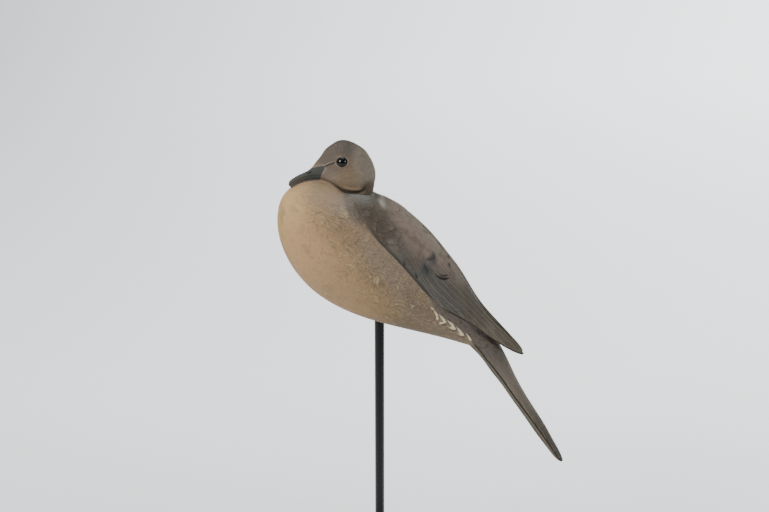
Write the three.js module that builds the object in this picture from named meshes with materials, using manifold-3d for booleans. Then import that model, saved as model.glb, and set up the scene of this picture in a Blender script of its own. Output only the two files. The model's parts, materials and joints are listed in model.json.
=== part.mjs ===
// A carved and painted wooden dove decoy, held up by a steel rod on a flat steel base.
//
// Frame: millimetres, +Z up, origin under the middle of the base, on the rod's axis.
// The bill points towards -X, the tail towards +X, and the bird's left side is -Y.
//
// The bird is free carving, so its forms are shares of its own length: every number in the
// tables of the bird is a percent of birdLength. The glass eyes, the rod and the base have
// sizes of their own.

import * as THREE from 'three';
import { mergeVertices } from 'three/addons/utils/BufferGeometryUtils.js';
import Module from 'manifold-3d';

const wasm = await Module();
wasm.setup();

// Driving dimensions

const birdLength = 269;       // tip of the bill to tip of the tail
const eyeDiameter = 7;        // the glass eye, full width
const eyeShank = 1.5;         // straight part of the eye behind its dome
const eyeProud = 2;           // how far the dome stands out of the head
const rodDiameter = 6.35;     // quarter-inch round bar
const rodShowing = 200;       // bar between the base and the belly
const rodInBird = 30;         // bar inside the bird
const rodInBase = 6;          // bar inside the base
const rodChamfer = 0.6;
const baseWidth = 120;        // square plate
const baseThickness = 8;
const baseCorner = 6;         // radius of the plate's corners
const baseChamfer = 0.8;
const clearance = 0.3;        // round every seated piece

// The wing lies this much lower than the flank feathers that cover its front edge
const flankStep = 1.8;

// Facets

const bodyStations = 36;
const bodySides = 34;
const headStations = 30;
const headSides = 24;
const neckStations = 12;
const neckSides = 24;
const wingStations = 22;
const wingSides = 16;
const tailStations = 22;
const tailSides = 14;
const roundSides = 24;
const domeSteps = 6;

const share = (percent) => percent * birdLength / 100;
const shares = (list) => list.map(share);
const radians = THREE.MathUtils.degToRad;

// A natural cubic spline through evenly spaced values, as a function of t from 0 to 1
function smoothLine(values) {
  const last = values.length - 1;
  const bend = new Array(last + 1).fill(0);
  const carry = new Array(last + 1).fill(0);
  for (let i = 1; i < last; i++) {
    const load = 6 * (values[i + 1] - 2 * values[i] + values[i - 1]);
    const pivot = 4 - carry[i - 1];
    carry[i] = 1 / pivot;
    bend[i] = (load - bend[i - 1]) / pivot;
  }
  for (let i = last - 1; i > 0; i--) {
    bend[i] -= carry[i] * bend[i + 1];
  }
  return (t) => {
    const along = Math.min(Math.max(t, 0), 1) * last;
    const i = Math.min(Math.floor(along), last - 1);
    const f = along - i;
    const g = 1 - f;
    return values[i] * g + values[i + 1] * f
      + ((g ** 3 - g) * bend[i] + (f ** 3 - f) * bend[i + 1]) / 6;
  };
}

// A sine or cosine with its corners filled out (below 1) or left round (1)
const fuller = (value, power) => Math.sign(value) * Math.abs(value) ** power;

// Closes a form at both ends with quarter rounds that take up the first and last shares of t
function roundEnds(t, front, back) {
  const a = Math.min(t / front, 1);
  const b = Math.min((1 - t) / back, 1);
  return Math.sqrt(1 - (1 - a) ** 2) * Math.sqrt(1 - (1 - b) ** 2);
}

// A closed skin over point(t, a), with t along the form and a round it, that meets in one
// point at each end. The stations are closer together towards both ends.
function skin(point, stations, sides) {
  const positions = [];
  const faces = [];
  const ring = (i) => 1 + (i - 1) * sides;
  positions.push(...point(0, 0).toArray());
  for (let i = 1; i < stations; i++) {
    const t = (1 - Math.cos(Math.PI * i / stations)) / 2;
    for (let j = 0; j < sides; j++) {
      positions.push(...point(t, 2 * Math.PI * j / sides).toArray());
    }
  }
  positions.push(...point(1, 0).toArray());
  const end = ring(stations);
  for (let j = 0; j < sides; j++) {
    const k = (j + 1) % sides;
    faces.push(0, ring(1) + k, ring(1) + j);
    faces.push(end, ring(stations - 1) + j, ring(stations - 1) + k);
    for (let i = 1; i < stations - 1; i++) {
      faces.push(ring(i) + j, ring(i) + k, ring(i + 1) + k);
      faces.push(ring(i) + j, ring(i + 1) + k, ring(i + 1) + j);
    }
  }
  const geometry = new THREE.BufferGeometry();
  geometry.setAttribute('position', new THREE.Float32BufferAttribute(positions, 3));
  geometry.setIndex(faces);
  return geometry;
}

// Six times the volume that a mesh's faces enclose, negative when they point inwards
function enclosed(positions, faces) {
  const corner = (i) => new THREE.Vector3().fromArray(positions, 3 * i);
  let sum = 0;
  for (let i = 0; i < faces.length; i += 3) {
    sum += corner(faces[i]).dot(corner(faces[i + 1]).cross(corner(faces[i + 2])));
  }
  return sum;
}

// A closed geometry as a solid with its faces outwards
function solid(geometry) {
  const bare = geometry.clone();
  bare.deleteAttribute('normal');
  bare.deleteAttribute('uv');
  const merged = mergeVertices(bare, 1e-4);
  const index = merged.index.array;
  const positions = merged.attributes.position.array;
  const faces = [];
  for (let i = 0; i < index.length; i += 3) {
    const [a, b, c] = index.subarray(i, i + 3);
    if (a !== b && b !== c && c !== a) {
      faces.push(a, b, c);
    }
  }
  if (enclosed(positions, faces) < 0) {
    faces.reverse();
  }
  const mesh = new wasm.Mesh({
    numProp: 3,
    vertProperties: Float32Array.from(positions),
    triVerts: Uint32Array.from(faces),
  });
  return new wasm.Manifold(mesh);
}

// A solid back as a geometry
function geometryOf(manifold) {
  const mesh = manifold.getMesh();
  const geometry = new THREE.BufferGeometry();
  geometry.setAttribute('position', new THREE.Float32BufferAttribute(mesh.vertProperties, 3));
  geometry.setIndex(new THREE.Uint32BufferAttribute(mesh.triVerts, 1));
  geometry.computeVertexNormals();
  return geometry;
}

// A turned shape from its half section, given as [radius, height] pairs, standing on +Z
function turned(section, sides) {
  const points = section.map(([radius, height]) => new THREE.Vector2(radius, height));
  return new THREE.LatheGeometry(points, sides).rotateX(Math.PI / 2);
}

// Body: an egg along an axis that falls towards the tail. Along the axis the sections follow
// a sine, so the egg closes round at both ends, and back, belly and side each have a line of
// their own that says how far that side swells.

const bodyFall = radians(38);
const bodyFront = share(-37.2);
const bodyRear = share(24.5);
const bodyAxis = share(11.5);
const bodySquareness = 0.9;
const backLine = smoothLine(shares([16.2, 16.5, 15.5, 15.0, 13.6, 11.7, 10.3, 9.3, 8.6]));
const bellyLine = smoothLine(shares([11.8, 14.9, 15.9, 15.2, 12.4, 8.4, 5.5, 5.2, 5.5]));
const sideLine = smoothLine(shares([13.8, 13.8, 13.8, 13.6, 13.0, 11.9, 10.4, 8.9, 8.2]));

// From distances along an axis that falls by an angle, and above it, to the bird's frame
function fallen(along, above, fall) {
  return [
    along * Math.cos(fall) + above * Math.sin(fall),
    above * Math.cos(fall) - along * Math.sin(fall),
  ];
}

function bodyForm(sideLoss) {
  const point = (t, a) => {
    const swell = Math.sin(Math.acos(1 - 2 * t));
    const turn = Math.acos(1 - 2 * t) / Math.PI;
    const high = Math.sin(a) > 0 ? backLine(turn) : bellyLine(turn);
    const along = bodyFront + (bodyRear - bodyFront) * t;
    const above = bodyAxis + swell * high * fuller(Math.sin(a), bodySquareness);
    const [x, z] = fallen(along, above, bodyFall);
    const y = swell * (sideLine(turn) - sideLoss) * fuller(Math.cos(a), bodySquareness);
    return new THREE.Vector3(x, y, z);
  };
  return solid(skin(point, bodyStations, bodySides));
}

// Head and bill: one form along an axis from the nape to the bill's tip, which points down.
// The middle line carries crown, throat and cheek lines, and the bill is their thin end.

const headFall = radians(21);
const headCentre = [share(-7.8), share(38.3)];
const headBack = share(-6.4);
const billTip = share(13.8);
const middleLine = smoothLine(
  shares([-1.1, -0.75, -0.4, 0, 0.2, 0.75, 1.3, 1.5, 1.55, 1.55, 1.4, 1.0]));
const crownLine = smoothLine(
  shares([5.9, 7.1, 7.25, 6.8, 6.2, 5.05, 3.1, 1.75, 1.1, 0.95, 0.85, 0.75]));
const throatLine = smoothLine(
  shares([7.1, 7.8, 8.4, 8.2, 7.4, 6.1, 3.5, 1.8, 1.1, 0.8, 0.75, 0.7]));
const cheekLine = smoothLine(
  shares([4.8, 5.2, 5.3, 5.2, 4.9, 4.1, 2.8, 1.6, 1.2, 1.0, 0.9, 0.75]));
const napeRound = 0.34;
const billRound = 0.045;
const throatSquareness = 0.85;

function headPoint(t, a) {
  const rounded = roundEnds(t, napeRound, billRound);
  const power = Math.sin(a) > 0 ? 1 : throatSquareness;
  const high = Math.sin(a) > 0 ? crownLine(t) : throatLine(t);
  const along = headBack + (billTip - headBack) * t;
  const above = middleLine(t) + rounded * high * fuller(Math.sin(a), power);
  const [x, z] = fallen(-along, above, -headFall);
  const y = rounded * cheekLine(t) * fuller(Math.cos(a), power);
  return new THREE.Vector3(headCentre[0] + x, y, headCentre[1] + z);
}

// Neck: an upright oval post between the head and the body

const neckFoot = share(23.0);
const neckTop = share(41.6);
const neckMiddle = smoothLine(shares([-6.3, -6.5, -6.8, -7.2]));
const neckDepth = smoothLine(shares([5.6, 5.2, 5.6, 5.2]));
const neckWidth = smoothLine(shares([5.2, 4.7, 4.5, 4.5]));
const neckRound = 0.2;

function neckPoint(t, a) {
  const rounded = roundEnds(t, neckRound, neckRound);
  return new THREE.Vector3(
    neckMiddle(t) + rounded * neckDepth(t) * Math.cos(a),
    rounded * neckWidth(t) * Math.sin(a),
    neckFoot + (neckTop - neckFoot) * t,
  );
}

// Wings: each is a blade between an upper and a lower edge, swollen outwards and a little
// inwards. The front half lies inside the body and the rear half stands free over the tail.
// The edges are given as [x, y, z] of the right wing.

const wingUpperEdge = [
  [0.7, 4.5, 29.7], [6.7, 3.2, 26.6], [12.6, 2.2, 21.4], [18.6, 1.7, 13.8],
  [23.8, 1.35, 5.0], [29.2, 1.0, -1.5], [35.4, 0.3, -8.3],
];
const wingLowerEdge = [
  [-3.0, 9.1, 27.7], [3.7, 10.9, 20.5], [10.0, 10.6, 12.9], [16.0, 9.4, 7.2],
  [21.6, 7.4, 2.8], [27.9, 4.8, -3.2], [35.4, 1.5, -8.8],
];
const wingOutside = smoothLine(shares([0.6, 1.2, 1.4, 1.3, 1.05, 0.95, 0.6]));
const wingInside = smoothLine(shares([1.1, 1.1, 1.1, 0.9, 0.8, 0.75, 0.55]));
const wingFrontRound = 0.2;
const wingTipRound = 0.06;
const wingSquareness = 0.9;

// A line in space through evenly spaced points given as shares
function smoothPath(points) {
  const [x, y, z] = [0, 1, 2].map((axis) => smoothLine(shares(points.map((p) => p[axis]))));
  return (t) => new THREE.Vector3(x(t), y(t), z(t));
}

const wingUpper = smoothPath(wingUpperEdge);
const wingLower = smoothPath(wingLowerEdge);

function wingPoint(t, a) {
  const upper = wingUpper(t);
  const lower = wingLower(t);
  const middle = upper.clone().add(lower).multiplyScalar(0.5);
  const half = upper.clone().sub(lower).multiplyScalar(0.5);
  const step = 0.001;
  const ahead = wingUpper(Math.min(t + step, 1)).add(wingLower(Math.min(t + step, 1)));
  const behind = wingUpper(Math.max(t - step, 0)).add(wingLower(Math.max(t - step, 0)));
  const outwards = half.clone().cross(ahead.sub(behind)).normalize();
  if (outwards.y < 0) {
    outwards.negate();
  }
  const rounded = roundEnds(t, wingFrontRound, wingTipRound);
  const swell = Math.sin(a) > 0 ? wingOutside(t) : wingInside(t);
  return middle
    .addScaledVector(half, rounded * fuller(Math.cos(a), wingSquareness))
    .addScaledVector(outwards, rounded * swell * fuller(Math.sin(a), wingSquareness));
}

const mirrored = (point) => (t, a) => point(t, a).multiply(new THREE.Vector3(1, -1, 1));

// Tail: long closed feathers in two layers. The upper layer is crowned and a little wider
// than the slab under it, which leaves a fine groove along each edge.

const tailX = smoothLine(shares([13.0, 20.4, 27.1, 33.3, 39.8, 46.8]));
const tailZ = smoothLine(shares([6.3, -1.3, -8.9, -18.1, -27.7, -39.0]));
const tailHalfWidth = smoothLine(shares([7.4, 6.5, 5.0, 3.9, 3.0, 1.3]));
const tailCrown = smoothLine(shares([5.2, 4.8, 3.3, 1.8, 1.0, 0.55]));
const tailSlab = smoothLine(shares([1.3, 1.2, 1.3, 1.5, 1.5, 1.1]));
const tailOverhang = share(0.26);
const tailLip = share(0.33);
const tailFrontRound = 0.15;
const tailTipRound = 0.06;
const crownSquareness = 0.9;
const slabSquareness = 0.6;

// A point of the tail: across is the distance to the side, above is square to its middle line
function tailPoint(t, across, above) {
  const step = 0.001;
  const [t0, t1] = [Math.max(t - step, 0), Math.min(t + step, 1)];
  const run = new THREE.Vector2(tailX(t1) - tailX(t0), tailZ(t1) - tailZ(t0)).normalize();
  return new THREE.Vector3(tailX(t) - run.y * above, across, tailZ(t) + run.x * above);
}

function tailUpperPoint(t, a) {
  const rounded = roundEnds(t, tailFrontRound, tailTipRound);
  const high = Math.sin(a) > 0 ? tailCrown(t) : tailLip;
  return tailPoint(
    t,
    rounded * tailHalfWidth(t) * fuller(Math.cos(a), crownSquareness),
    rounded * high * fuller(Math.sin(a), crownSquareness),
  );
}

function tailSlabPoint(t, a) {
  const rounded = roundEnds(t, tailFrontRound, tailTipRound);
  const half = tailSlab(t) / 2;
  return tailPoint(
    t,
    rounded * (tailHalfWidth(t) - tailOverhang) * fuller(Math.cos(a), slabSquareness),
    rounded * half * (fuller(Math.sin(a), slabSquareness) * 1.1 - 1),
  );
}

// Flank line: seen from the side, the edge of the breast and flank feathers over the wing.
// All of the body below and in front of it is left standing, all above and behind is lower.

const flankLine = [
  [-7.8, 34.6], [-6.2, 31.2], [-3.2, 27.4], [1.2, 22.9], [5.6, 18.2],
  [9.2, 13.5], [12.7, 9.4], [17.4, 5.8], [24.0, 0], [32.0, -8.0],
];

function flankBlock() {
  const line = flankLine.map(([x, z]) => new THREE.Vector2(share(x), share(z)));
  const outline = new THREE.Shape();
  outline.moveTo(-birdLength, birdLength);
  outline.lineTo(-birdLength, -birdLength);
  outline.lineTo(birdLength, -birdLength);
  outline.lineTo(line.at(-1).x, line.at(-1).y);
  outline.splineThru(line.slice(0, -1).reverse());
  outline.lineTo(line[0].x, birdLength);
  outline.closePath();
  const block = new THREE.ExtrudeGeometry(outline, {
    depth: birdLength,
    bevelEnabled: false,
    curveSegments: 12,
  });
  return solid(block.rotateX(Math.PI / 2).translate(0, birdLength / 2, 0));
}

// Glass eye: a dome on a short shank with a flat back, seated in a socket of the same shape

const eyeRadius = eyeDiameter / 2;
const eyeStation = 0.295;     // along the head, from the nape to the bill's tip
const eyeTurn = radians(25);  // above the cheek line

function eyeSection(gap) {
  const section = [[0, -eyeShank - gap], [eyeRadius + gap, -eyeShank - gap]];
  for (let i = 0; i <= domeSteps; i++) {
    const angle = Math.PI / 2 * i / domeSteps;
    const radius = i < domeSteps ? (eyeRadius + gap) * Math.cos(angle) : 0;
    section.push([radius, (eyeRadius + gap) * Math.sin(angle)]);
  }
  return section;
}

// Where an eye sits: on the head's surface, looking along the surface's own direction
function eyeSeat(side) {
  const step = 0.001;
  const spot = headPoint(eyeStation, eyeTurn);
  const lengthwise = headPoint(eyeStation + step, eyeTurn).sub(spot);
  const crosswise = headPoint(eyeStation, eyeTurn + step).sub(spot);
  const look = lengthwise.cross(crosswise).normalize();
  if (look.y < 0) {
    look.negate();
  }
  spot.addScaledVector(look, eyeProud - eyeRadius);
  const seat = new THREE.Object3D();
  seat.position.set(spot.x, spot.y * side, spot.z);
  look.set(look.x, look.y * side, look.z);
  seat.quaternion.setFromUnitVectors(new THREE.Vector3(0, 0, 1), look);
  seat.updateMatrix();
  return seat;
}

// Rod: a plain round bar with broken edges, from the base's socket up into the belly

const rodRadius = rodDiameter / 2;
const rodLength = rodInBase - clearance + rodShowing + rodInBird;
const rodFoot = baseThickness - rodInBase + clearance;
const birdHeight = baseThickness + rodShowing;

function rodGeometry() {
  const section = [
    [0, 0],
    [rodRadius - rodChamfer, 0],
    [rodRadius, rodChamfer],
    [rodRadius, rodLength - rodChamfer],
    [rodRadius - rodChamfer, rodLength],
    [0, rodLength],
  ];
  return geometryOf(solid(turned(section, roundSides)));
}

// A round hole for the rod, from its floor upwards
function rodHole(floor, depth) {
  const radius = rodRadius + clearance;
  const section = [[0, 0], [radius, 0], [radius, depth], [0, depth]];
  return solid(turned(section, roundSides).translate(0, 0, floor));
}

// Base: a square plate with rounded corners and broken edges, and a blind hole for the rod

function baseGeometry() {
  const half = baseWidth / 2 - baseChamfer;
  const radius = baseCorner - baseChamfer;
  const middle = half - radius;
  const outline = new THREE.Shape();
  outline.moveTo(half, -middle);
  outline.absarc(middle, middle, radius, 0, Math.PI / 2);
  outline.absarc(-middle, middle, radius, Math.PI / 2, Math.PI);
  outline.absarc(-middle, -middle, radius, Math.PI, 1.5 * Math.PI);
  outline.absarc(middle, -middle, radius, 1.5 * Math.PI, 2 * Math.PI);
  const plate = new THREE.ExtrudeGeometry(outline, {
    depth: baseThickness - 2 * baseChamfer,
    bevelSize: baseChamfer,
    bevelThickness: baseChamfer,
    bevelSegments: 1,
    curveSegments: 6,
  });
  plate.translate(0, 0, baseChamfer);
  return geometryOf(solid(plate).subtract(rodHole(baseThickness - rodInBase, baseThickness)));
}

// The whole carving as one piece of wood, with its hole for the rod and its two eye sockets

function doveGeometry() {
  const breastAndBelly = bodyForm(0).intersect(flankBlock());
  const back = bodyForm(flankStep);
  const forms = [
    breastAndBelly,
    back,
    solid(skin(headPoint, headStations, headSides)),
    solid(skin(neckPoint, neckStations, neckSides)),
    solid(skin(wingPoint, wingStations, wingSides)),
    solid(skin(mirrored(wingPoint), wingStations, wingSides)),
    solid(skin(tailUpperPoint, tailStations, tailSides)),
    solid(skin(tailSlabPoint, tailStations, tailSides)),
  ];
  let dove = forms.reduce((whole, form) => whole.add(form));
  dove = dove.subtract(rodHole(-rodShowing, rodShowing + rodInBird + clearance));
  for (const side of [-1, 1]) {
    const socket = turned(eyeSection(clearance), roundSides);
    dove = dove.subtract(solid(socket.applyMatrix4(eyeSeat(side).matrix)));
  }
  return geometryOf(dove);
}

function eye(name, side) {
  const geometry = geometryOf(solid(turned(eyeSection(0), roundSides)));
  const glass = new THREE.MeshStandardMaterial({ color: 0x0d0c0c, roughness: 0.05, metalness: 0 });
  const mesh = new THREE.Mesh(geometry, glass);
  mesh.name = name;
  const seat = eyeSeat(side);
  mesh.position.copy(seat.position);
  mesh.quaternion.copy(seat.quaternion);
  return mesh;
}

const paintedWood = new THREE.MeshStandardMaterial({ color: 0x8f7c69, roughness: 0.6, metalness: 0 });
const dove = new THREE.Mesh(doveGeometry(), paintedWood);
dove.name = 'carved_dove';

const bird = new THREE.Group();
bird.position.z = birdHeight;
bird.add(dove, eye('left_eye', -1), eye('right_eye', 1));

const rodPaint = new THREE.MeshStandardMaterial({ color: 0x1f1f22, roughness: 0.4, metalness: 0.2 });
const rod = new THREE.Mesh(rodGeometry(), rodPaint);
rod.name = 'rod';
rod.position.z = rodFoot;

const basePaint = new THREE.MeshStandardMaterial({ color: 0x222224, roughness: 0.5, metalness: 0.2 });
const basePlate = new THREE.Mesh(baseGeometry(), basePaint);
basePlate.name = 'base_plate';

const decoy = new THREE.Group();
decoy.add(basePlate, rod, bird);

export default decoy;
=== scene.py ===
# %% [markdown]
# # A carved dove decoy, painted and set on a rod
#
# The real object is a life-size dove, carved from wood, painted with matt colours and held up by
# a round steel rod. This lesson dresses the plain solids that the frame brings: it carves the same
# forms again as fine grids, melts them into one piece of wood, and paints the feathers with nodes.
# Everything is in metres, +Z up, with the bill towards -X and the bird's left side towards -Y.

# %% Load the frame
import json
import math
import bpy
import numpy as np
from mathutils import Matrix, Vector

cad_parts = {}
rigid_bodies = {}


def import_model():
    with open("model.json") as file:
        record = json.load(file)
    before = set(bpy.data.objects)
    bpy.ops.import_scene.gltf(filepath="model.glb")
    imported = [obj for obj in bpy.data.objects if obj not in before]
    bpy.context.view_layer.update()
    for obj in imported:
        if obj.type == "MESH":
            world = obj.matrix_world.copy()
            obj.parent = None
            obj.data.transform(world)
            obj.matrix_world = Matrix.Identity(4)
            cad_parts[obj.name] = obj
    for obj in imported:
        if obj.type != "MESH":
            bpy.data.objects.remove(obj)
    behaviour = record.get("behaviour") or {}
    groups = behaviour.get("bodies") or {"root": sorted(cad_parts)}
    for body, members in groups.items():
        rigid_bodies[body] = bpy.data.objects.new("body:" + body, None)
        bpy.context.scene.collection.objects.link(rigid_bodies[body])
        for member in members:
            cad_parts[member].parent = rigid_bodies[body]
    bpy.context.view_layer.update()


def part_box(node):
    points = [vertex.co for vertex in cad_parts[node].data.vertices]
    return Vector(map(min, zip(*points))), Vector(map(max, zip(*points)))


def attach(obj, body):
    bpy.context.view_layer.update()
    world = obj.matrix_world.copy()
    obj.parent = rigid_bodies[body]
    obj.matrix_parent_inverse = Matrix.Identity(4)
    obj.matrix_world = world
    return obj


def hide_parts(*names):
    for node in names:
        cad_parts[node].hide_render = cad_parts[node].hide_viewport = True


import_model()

# %% [markdown]
# ## Sizes
#
# A carver measures a bird against its own length, so the tables of the bird are percents of that
# length. The rod and the base come from the frame, and the small feather marks are in millimetres
# of the bird's own frame, whose z is 0 where the rod enters the belly.

# %% Driving sizes
mm = 0.001
bird_length = 269 * mm
rod_in_bird = 30 * mm
rod_low, rod_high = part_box("rod")
base_low, base_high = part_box("base_plate")
belly_height = rod_high.z - rod_in_bird


def shares(percents):
    """Percents of the bird's length, in metres."""
    return np.array(percents, float) * bird_length / 100


print(f"the belly sits {belly_height / mm:.1f} mm above the table")

# %% [markdown]
# ## Smooth lines
#
# The crown, the belly or the edge of a wing is a smooth line through a few measured values. A
# drawn curve object could hold it, but a natural cubic spline in numpy gives the value anywhere
# for a whole array at once, which the grids below need.


# %% Splines
def smooth_line(values):
    """A natural cubic spline through evenly spaced values, as a function of t from 0 to 1.

    The bends at the knots solve bend[i-1] + 4 bend[i] + bend[i+1] = 6 times the second difference,
    and between two knots the value is the straight line plus the two bends' cubic share.
    """
    values = np.asarray(values, float)
    count = len(values)
    inner = np.arange(1, count - 1)
    system = np.eye(count)
    system[inner, inner] = 4
    system[inner, inner - 1] = 1
    system[inner, inner + 1] = 1
    load = np.zeros(count)
    load[inner] = 6 * (values[2:] - 2 * values[1:-1] + values[:-2])
    bend = np.linalg.solve(system, load)

    def line(t):
        """The value at t: straight between the knots, bent by g g g - g and f f f - f of the bends."""
        along = np.clip(t, 0, 1) * (count - 1)
        i = np.minimum(along.astype(int), count - 2)
        f = along - i
        g = 1 - f
        return (values[i] * g + values[i + 1] * f
                + ((g ** 3 - g) * bend[i] + (f ** 3 - f) * bend[i + 1]) / 6)

    return line


def smooth_path(points):
    """A spline for each coordinate of evenly spaced points: t gives an array of positions."""
    lines = [smooth_line(column) for column in np.transpose(points)]
    return lambda t: np.stack([line(t) for line in lines], -1)


print("a spline through 0, 2 and 1 is at", smooth_line([0, 2, 1])(0.25).round(2), "after a quarter")

# %% [markdown]
# ## Rings from end to end
#
# A carved form is a stack of rounded sections, closed at both ends. Every form below hands over the
# same three things, its vertices, quads and triangles, so that one function can make a mesh of any
# of them, or of several at once.


# %% Rounding and closed grids
def fuller(value, power):
    """A sine or cosine raised to a power below 1, sign kept, which fills out an oval's corners."""
    return np.sign(value) * np.abs(value) ** power


def round_ends(t, front, back):
    """Quarter rounds that close a form over the first and last shares of t.

    At a share a of a round, its height is the root of 1 - (1 - a) (1 - a), as on a circle.
    """
    a = np.minimum(t / front, 1)
    b = np.minimum((1 - t) / back, 1)
    return np.sqrt(1 - (1 - a) ** 2) * np.sqrt(1 - (1 - b) ** 2)


def ring_faces(rings, sides):
    """Quads between neighbouring rings, and triangles that close both ends in one vertex each.

    Vertex 0 is the front end, then the rings follow, each with vertices j = 0 to sides - 1, and the
    back end is the last. The neighbour of j on its ring is k = j + 1, and 0 after the last.
    """
    j = np.arange(sides)
    k = (j + 1) % sides
    ring = 1 + np.arange(rings - 1)[:, None] * sides
    quads = np.stack([ring + j, ring + k, ring + sides + k, ring + sides + j], -1).reshape(-1, 4)
    last = 1 + rings * sides
    front = np.stack([0 * j, 1 + k, 1 + j], -1)
    back = np.stack([0 * j + last, last - sides + j, last - sides + k], -1)
    return quads, np.vstack([front, back])


def closed_skin(point, stations, sides):
    """Vertices, quads and triangles of a closed skin over point(t, a).

    t runs from 0 to 1 along the form by t = (1 - cos(pi i / stations)) / 2, which crowds the rings
    towards both ends, a runs once round it, and each end closes in one vertex.
    """
    i, j = np.arange(1, stations), np.arange(sides)
    t, a = np.meshgrid((1 - np.cos(np.pi * i / stations)) / 2, 2 * np.pi * j / sides, indexing="ij")
    ends = point(np.array([0.0, 1.0]), np.zeros(2))
    verts = np.vstack([ends[:1], point(t, a).reshape(-1, 3), ends[1:]])
    return verts, *ring_faces(stations - 1, sides)


print("a sine of 0.5 filled out by a power of 0.6 is", round(float(fuller(0.5, 0.6)), 2))


# %% Meshes and pieces
def faces_out(verts, quads, tris):
    """The same skin with its faces outwards: a negative enclosed volume turns every face round."""
    flat = np.vstack([tris, quads[:, [0, 1, 2]], quads[:, [0, 2, 3]]])
    a, b, c = (verts[flat[:, n]] for n in range(3))
    if np.einsum("ij,ij->i", a, np.cross(b, c)).sum() < 0:
        quads, tris = quads[:, ::-1], tris[:, ::-1]
    return verts, quads, tris


def mesh_of(name, *skins):
    """One mesh from one or more skins, laid side by side in the same vertex list."""
    verts, faces, start = [], [], 0
    for skin in skins:
        points, quads, tris = faces_out(*skin)
        verts.append(points)
        faces += (quads + start).tolist() + (tris + start).tolist()
        start += len(points)
    mesh = bpy.data.meshes.new(name)
    mesh.from_pydata(np.vstack(verts), [], faces)
    mesh.update()
    return mesh


def piece_of(name, mesh):
    """An object at the origin that shows the mesh with smooth shading."""
    piece = bpy.data.objects.new(name, mesh)
    bpy.context.scene.collection.objects.link(piece)
    mesh.shade_smooth()
    return piece


# %% [markdown]
# ## Lines seen from the side
#
# The carver draws a few lines on both sides of the blank: where the breast feathers lap over the
# wing, where the tail begins, where the bill starts. Such a line is a spline in the side view, and
# every point of the wood gets two numbers from it, how far across the line it lies and how far
# along. Both the relief and the paint are steered by these numbers.


# %% Distances from a drawn line
def drawn_line(points, samples=160):
    """Dense samples of a spline through evenly spaced [x, z] points in mm, measured."""
    return measured(smooth_path(points)(np.linspace(0, 1, samples)))


def measured(places):
    """A line's sample places with their tangents and the length so far at each."""
    steps = np.diff(places, axis=0)
    lengths = np.concatenate([[0], np.cumsum(np.linalg.norm(steps, axis=1))])
    tangents = np.gradient(places, lengths, axis=0)
    tangents /= np.linalg.norm(tangents, axis=1, keepdims=True)
    return places, tangents, lengths


def across_and_along(line, x, z):
    """Signed distance across a drawn line and length along it, in mm, for arrays of x and z.

    The nearest sample's tangent splits the offset in two: its cross product is the distance, above
    0 on the upper or rear side of a line drawn towards the tail, and its dot product is added to
    the length so far.
    """
    places, tangents, lengths = line
    x, z = np.asarray(x, np.float32), np.asarray(z, np.float32)
    shape = x.shape
    x, z = x.ravel(), z.ravel()
    gaps = ((x[:, None] - places[:, 0].astype(np.float32)) ** 2
            + (z[:, None] - places[:, 1].astype(np.float32)) ** 2)
    nearest = gaps.argmin(1)
    dx, dz = x - places[nearest, 0], z - places[nearest, 1]
    tx, tz = tangents[nearest].T
    across = tx * dz - tz * dx
    along = lengths[nearest] + tx * dx + tz * dz
    return across.reshape(shape), along.reshape(shape)


def eased(value, low, high):
    """0 below low, 1 above high, and between them the even S that t t (3 - 2 t) draws."""
    t = np.clip((value - low) / (high - low), 0, 1)
    return t * t * (3 - 2 * t)


# The edge of the breast and flank feathers, which runs on as the wing's lower edge to its tip
wing_edge = drawn_line([
    [-22, 92.4], [-15.4, 81.6], [-7, 72.2], [1.6, 63.2], [10.2, 54.2], [18.3, 44.8], [26, 35],
    [34.2, 25.8], [44, 18], [54.2, 10.2], [64, 2.2], [73.2, -6.2], [83, -14], [93.6, -21.2],
])
print(f"the wing's edge is {wing_edge[2][-1]:.0f} mm long from shoulder to tip")

# %% [markdown]
# ## The body
#
# The body is an egg on an axis that falls 38 degrees towards the tail. A sculptor could push one
# out of a sphere by hand, but three lines for back, belly and sides say it exactly. The back half
# is carved 1.8 mm deeper than the breast, so the flank feathers lap over the wing with a soft rim.

# %% Body
body_fall = math.radians(38)
body_front, body_rear, body_axis = shares([-37.2, 24.5, 11.5])
body_squareness = 0.9
flank_step = 1.8 * mm
# In mm: where the step's rim begins and ends across the wing's edge, how much softer it is at the
# shoulder, and between which places along the edge that softness goes
rim_begins, rim_ends, shoulder_softness = -0.3, 1.3, 5.5
shoulder_ends, crisp_begins = 12, 38
back_line = smooth_line(shares([16.2, 16.5, 15.5, 15.0, 13.6, 11.7, 10.3, 9.3, 8.6]))
belly_line = smooth_line(shares([11.8, 14.9, 15.9, 15.2, 12.4, 8.4, 5.5, 5.2, 5.5]))
side_line = smooth_line(shares([13.8, 13.8, 13.8, 13.6, 13.0, 11.9, 10.4, 8.9, 8.2]))


def in_bird(x, y, z):
    """Points of the bird's own frame as positions of the row frame."""
    return np.stack([x, y, z + belly_height], -1)


def fallen(along, above, fall):
    """Lengths along a falling axis and square to it, turned into x and z."""
    return (along * math.cos(fall) + above * math.sin(fall),
            above * math.cos(fall) - along * math.sin(fall))


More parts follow.
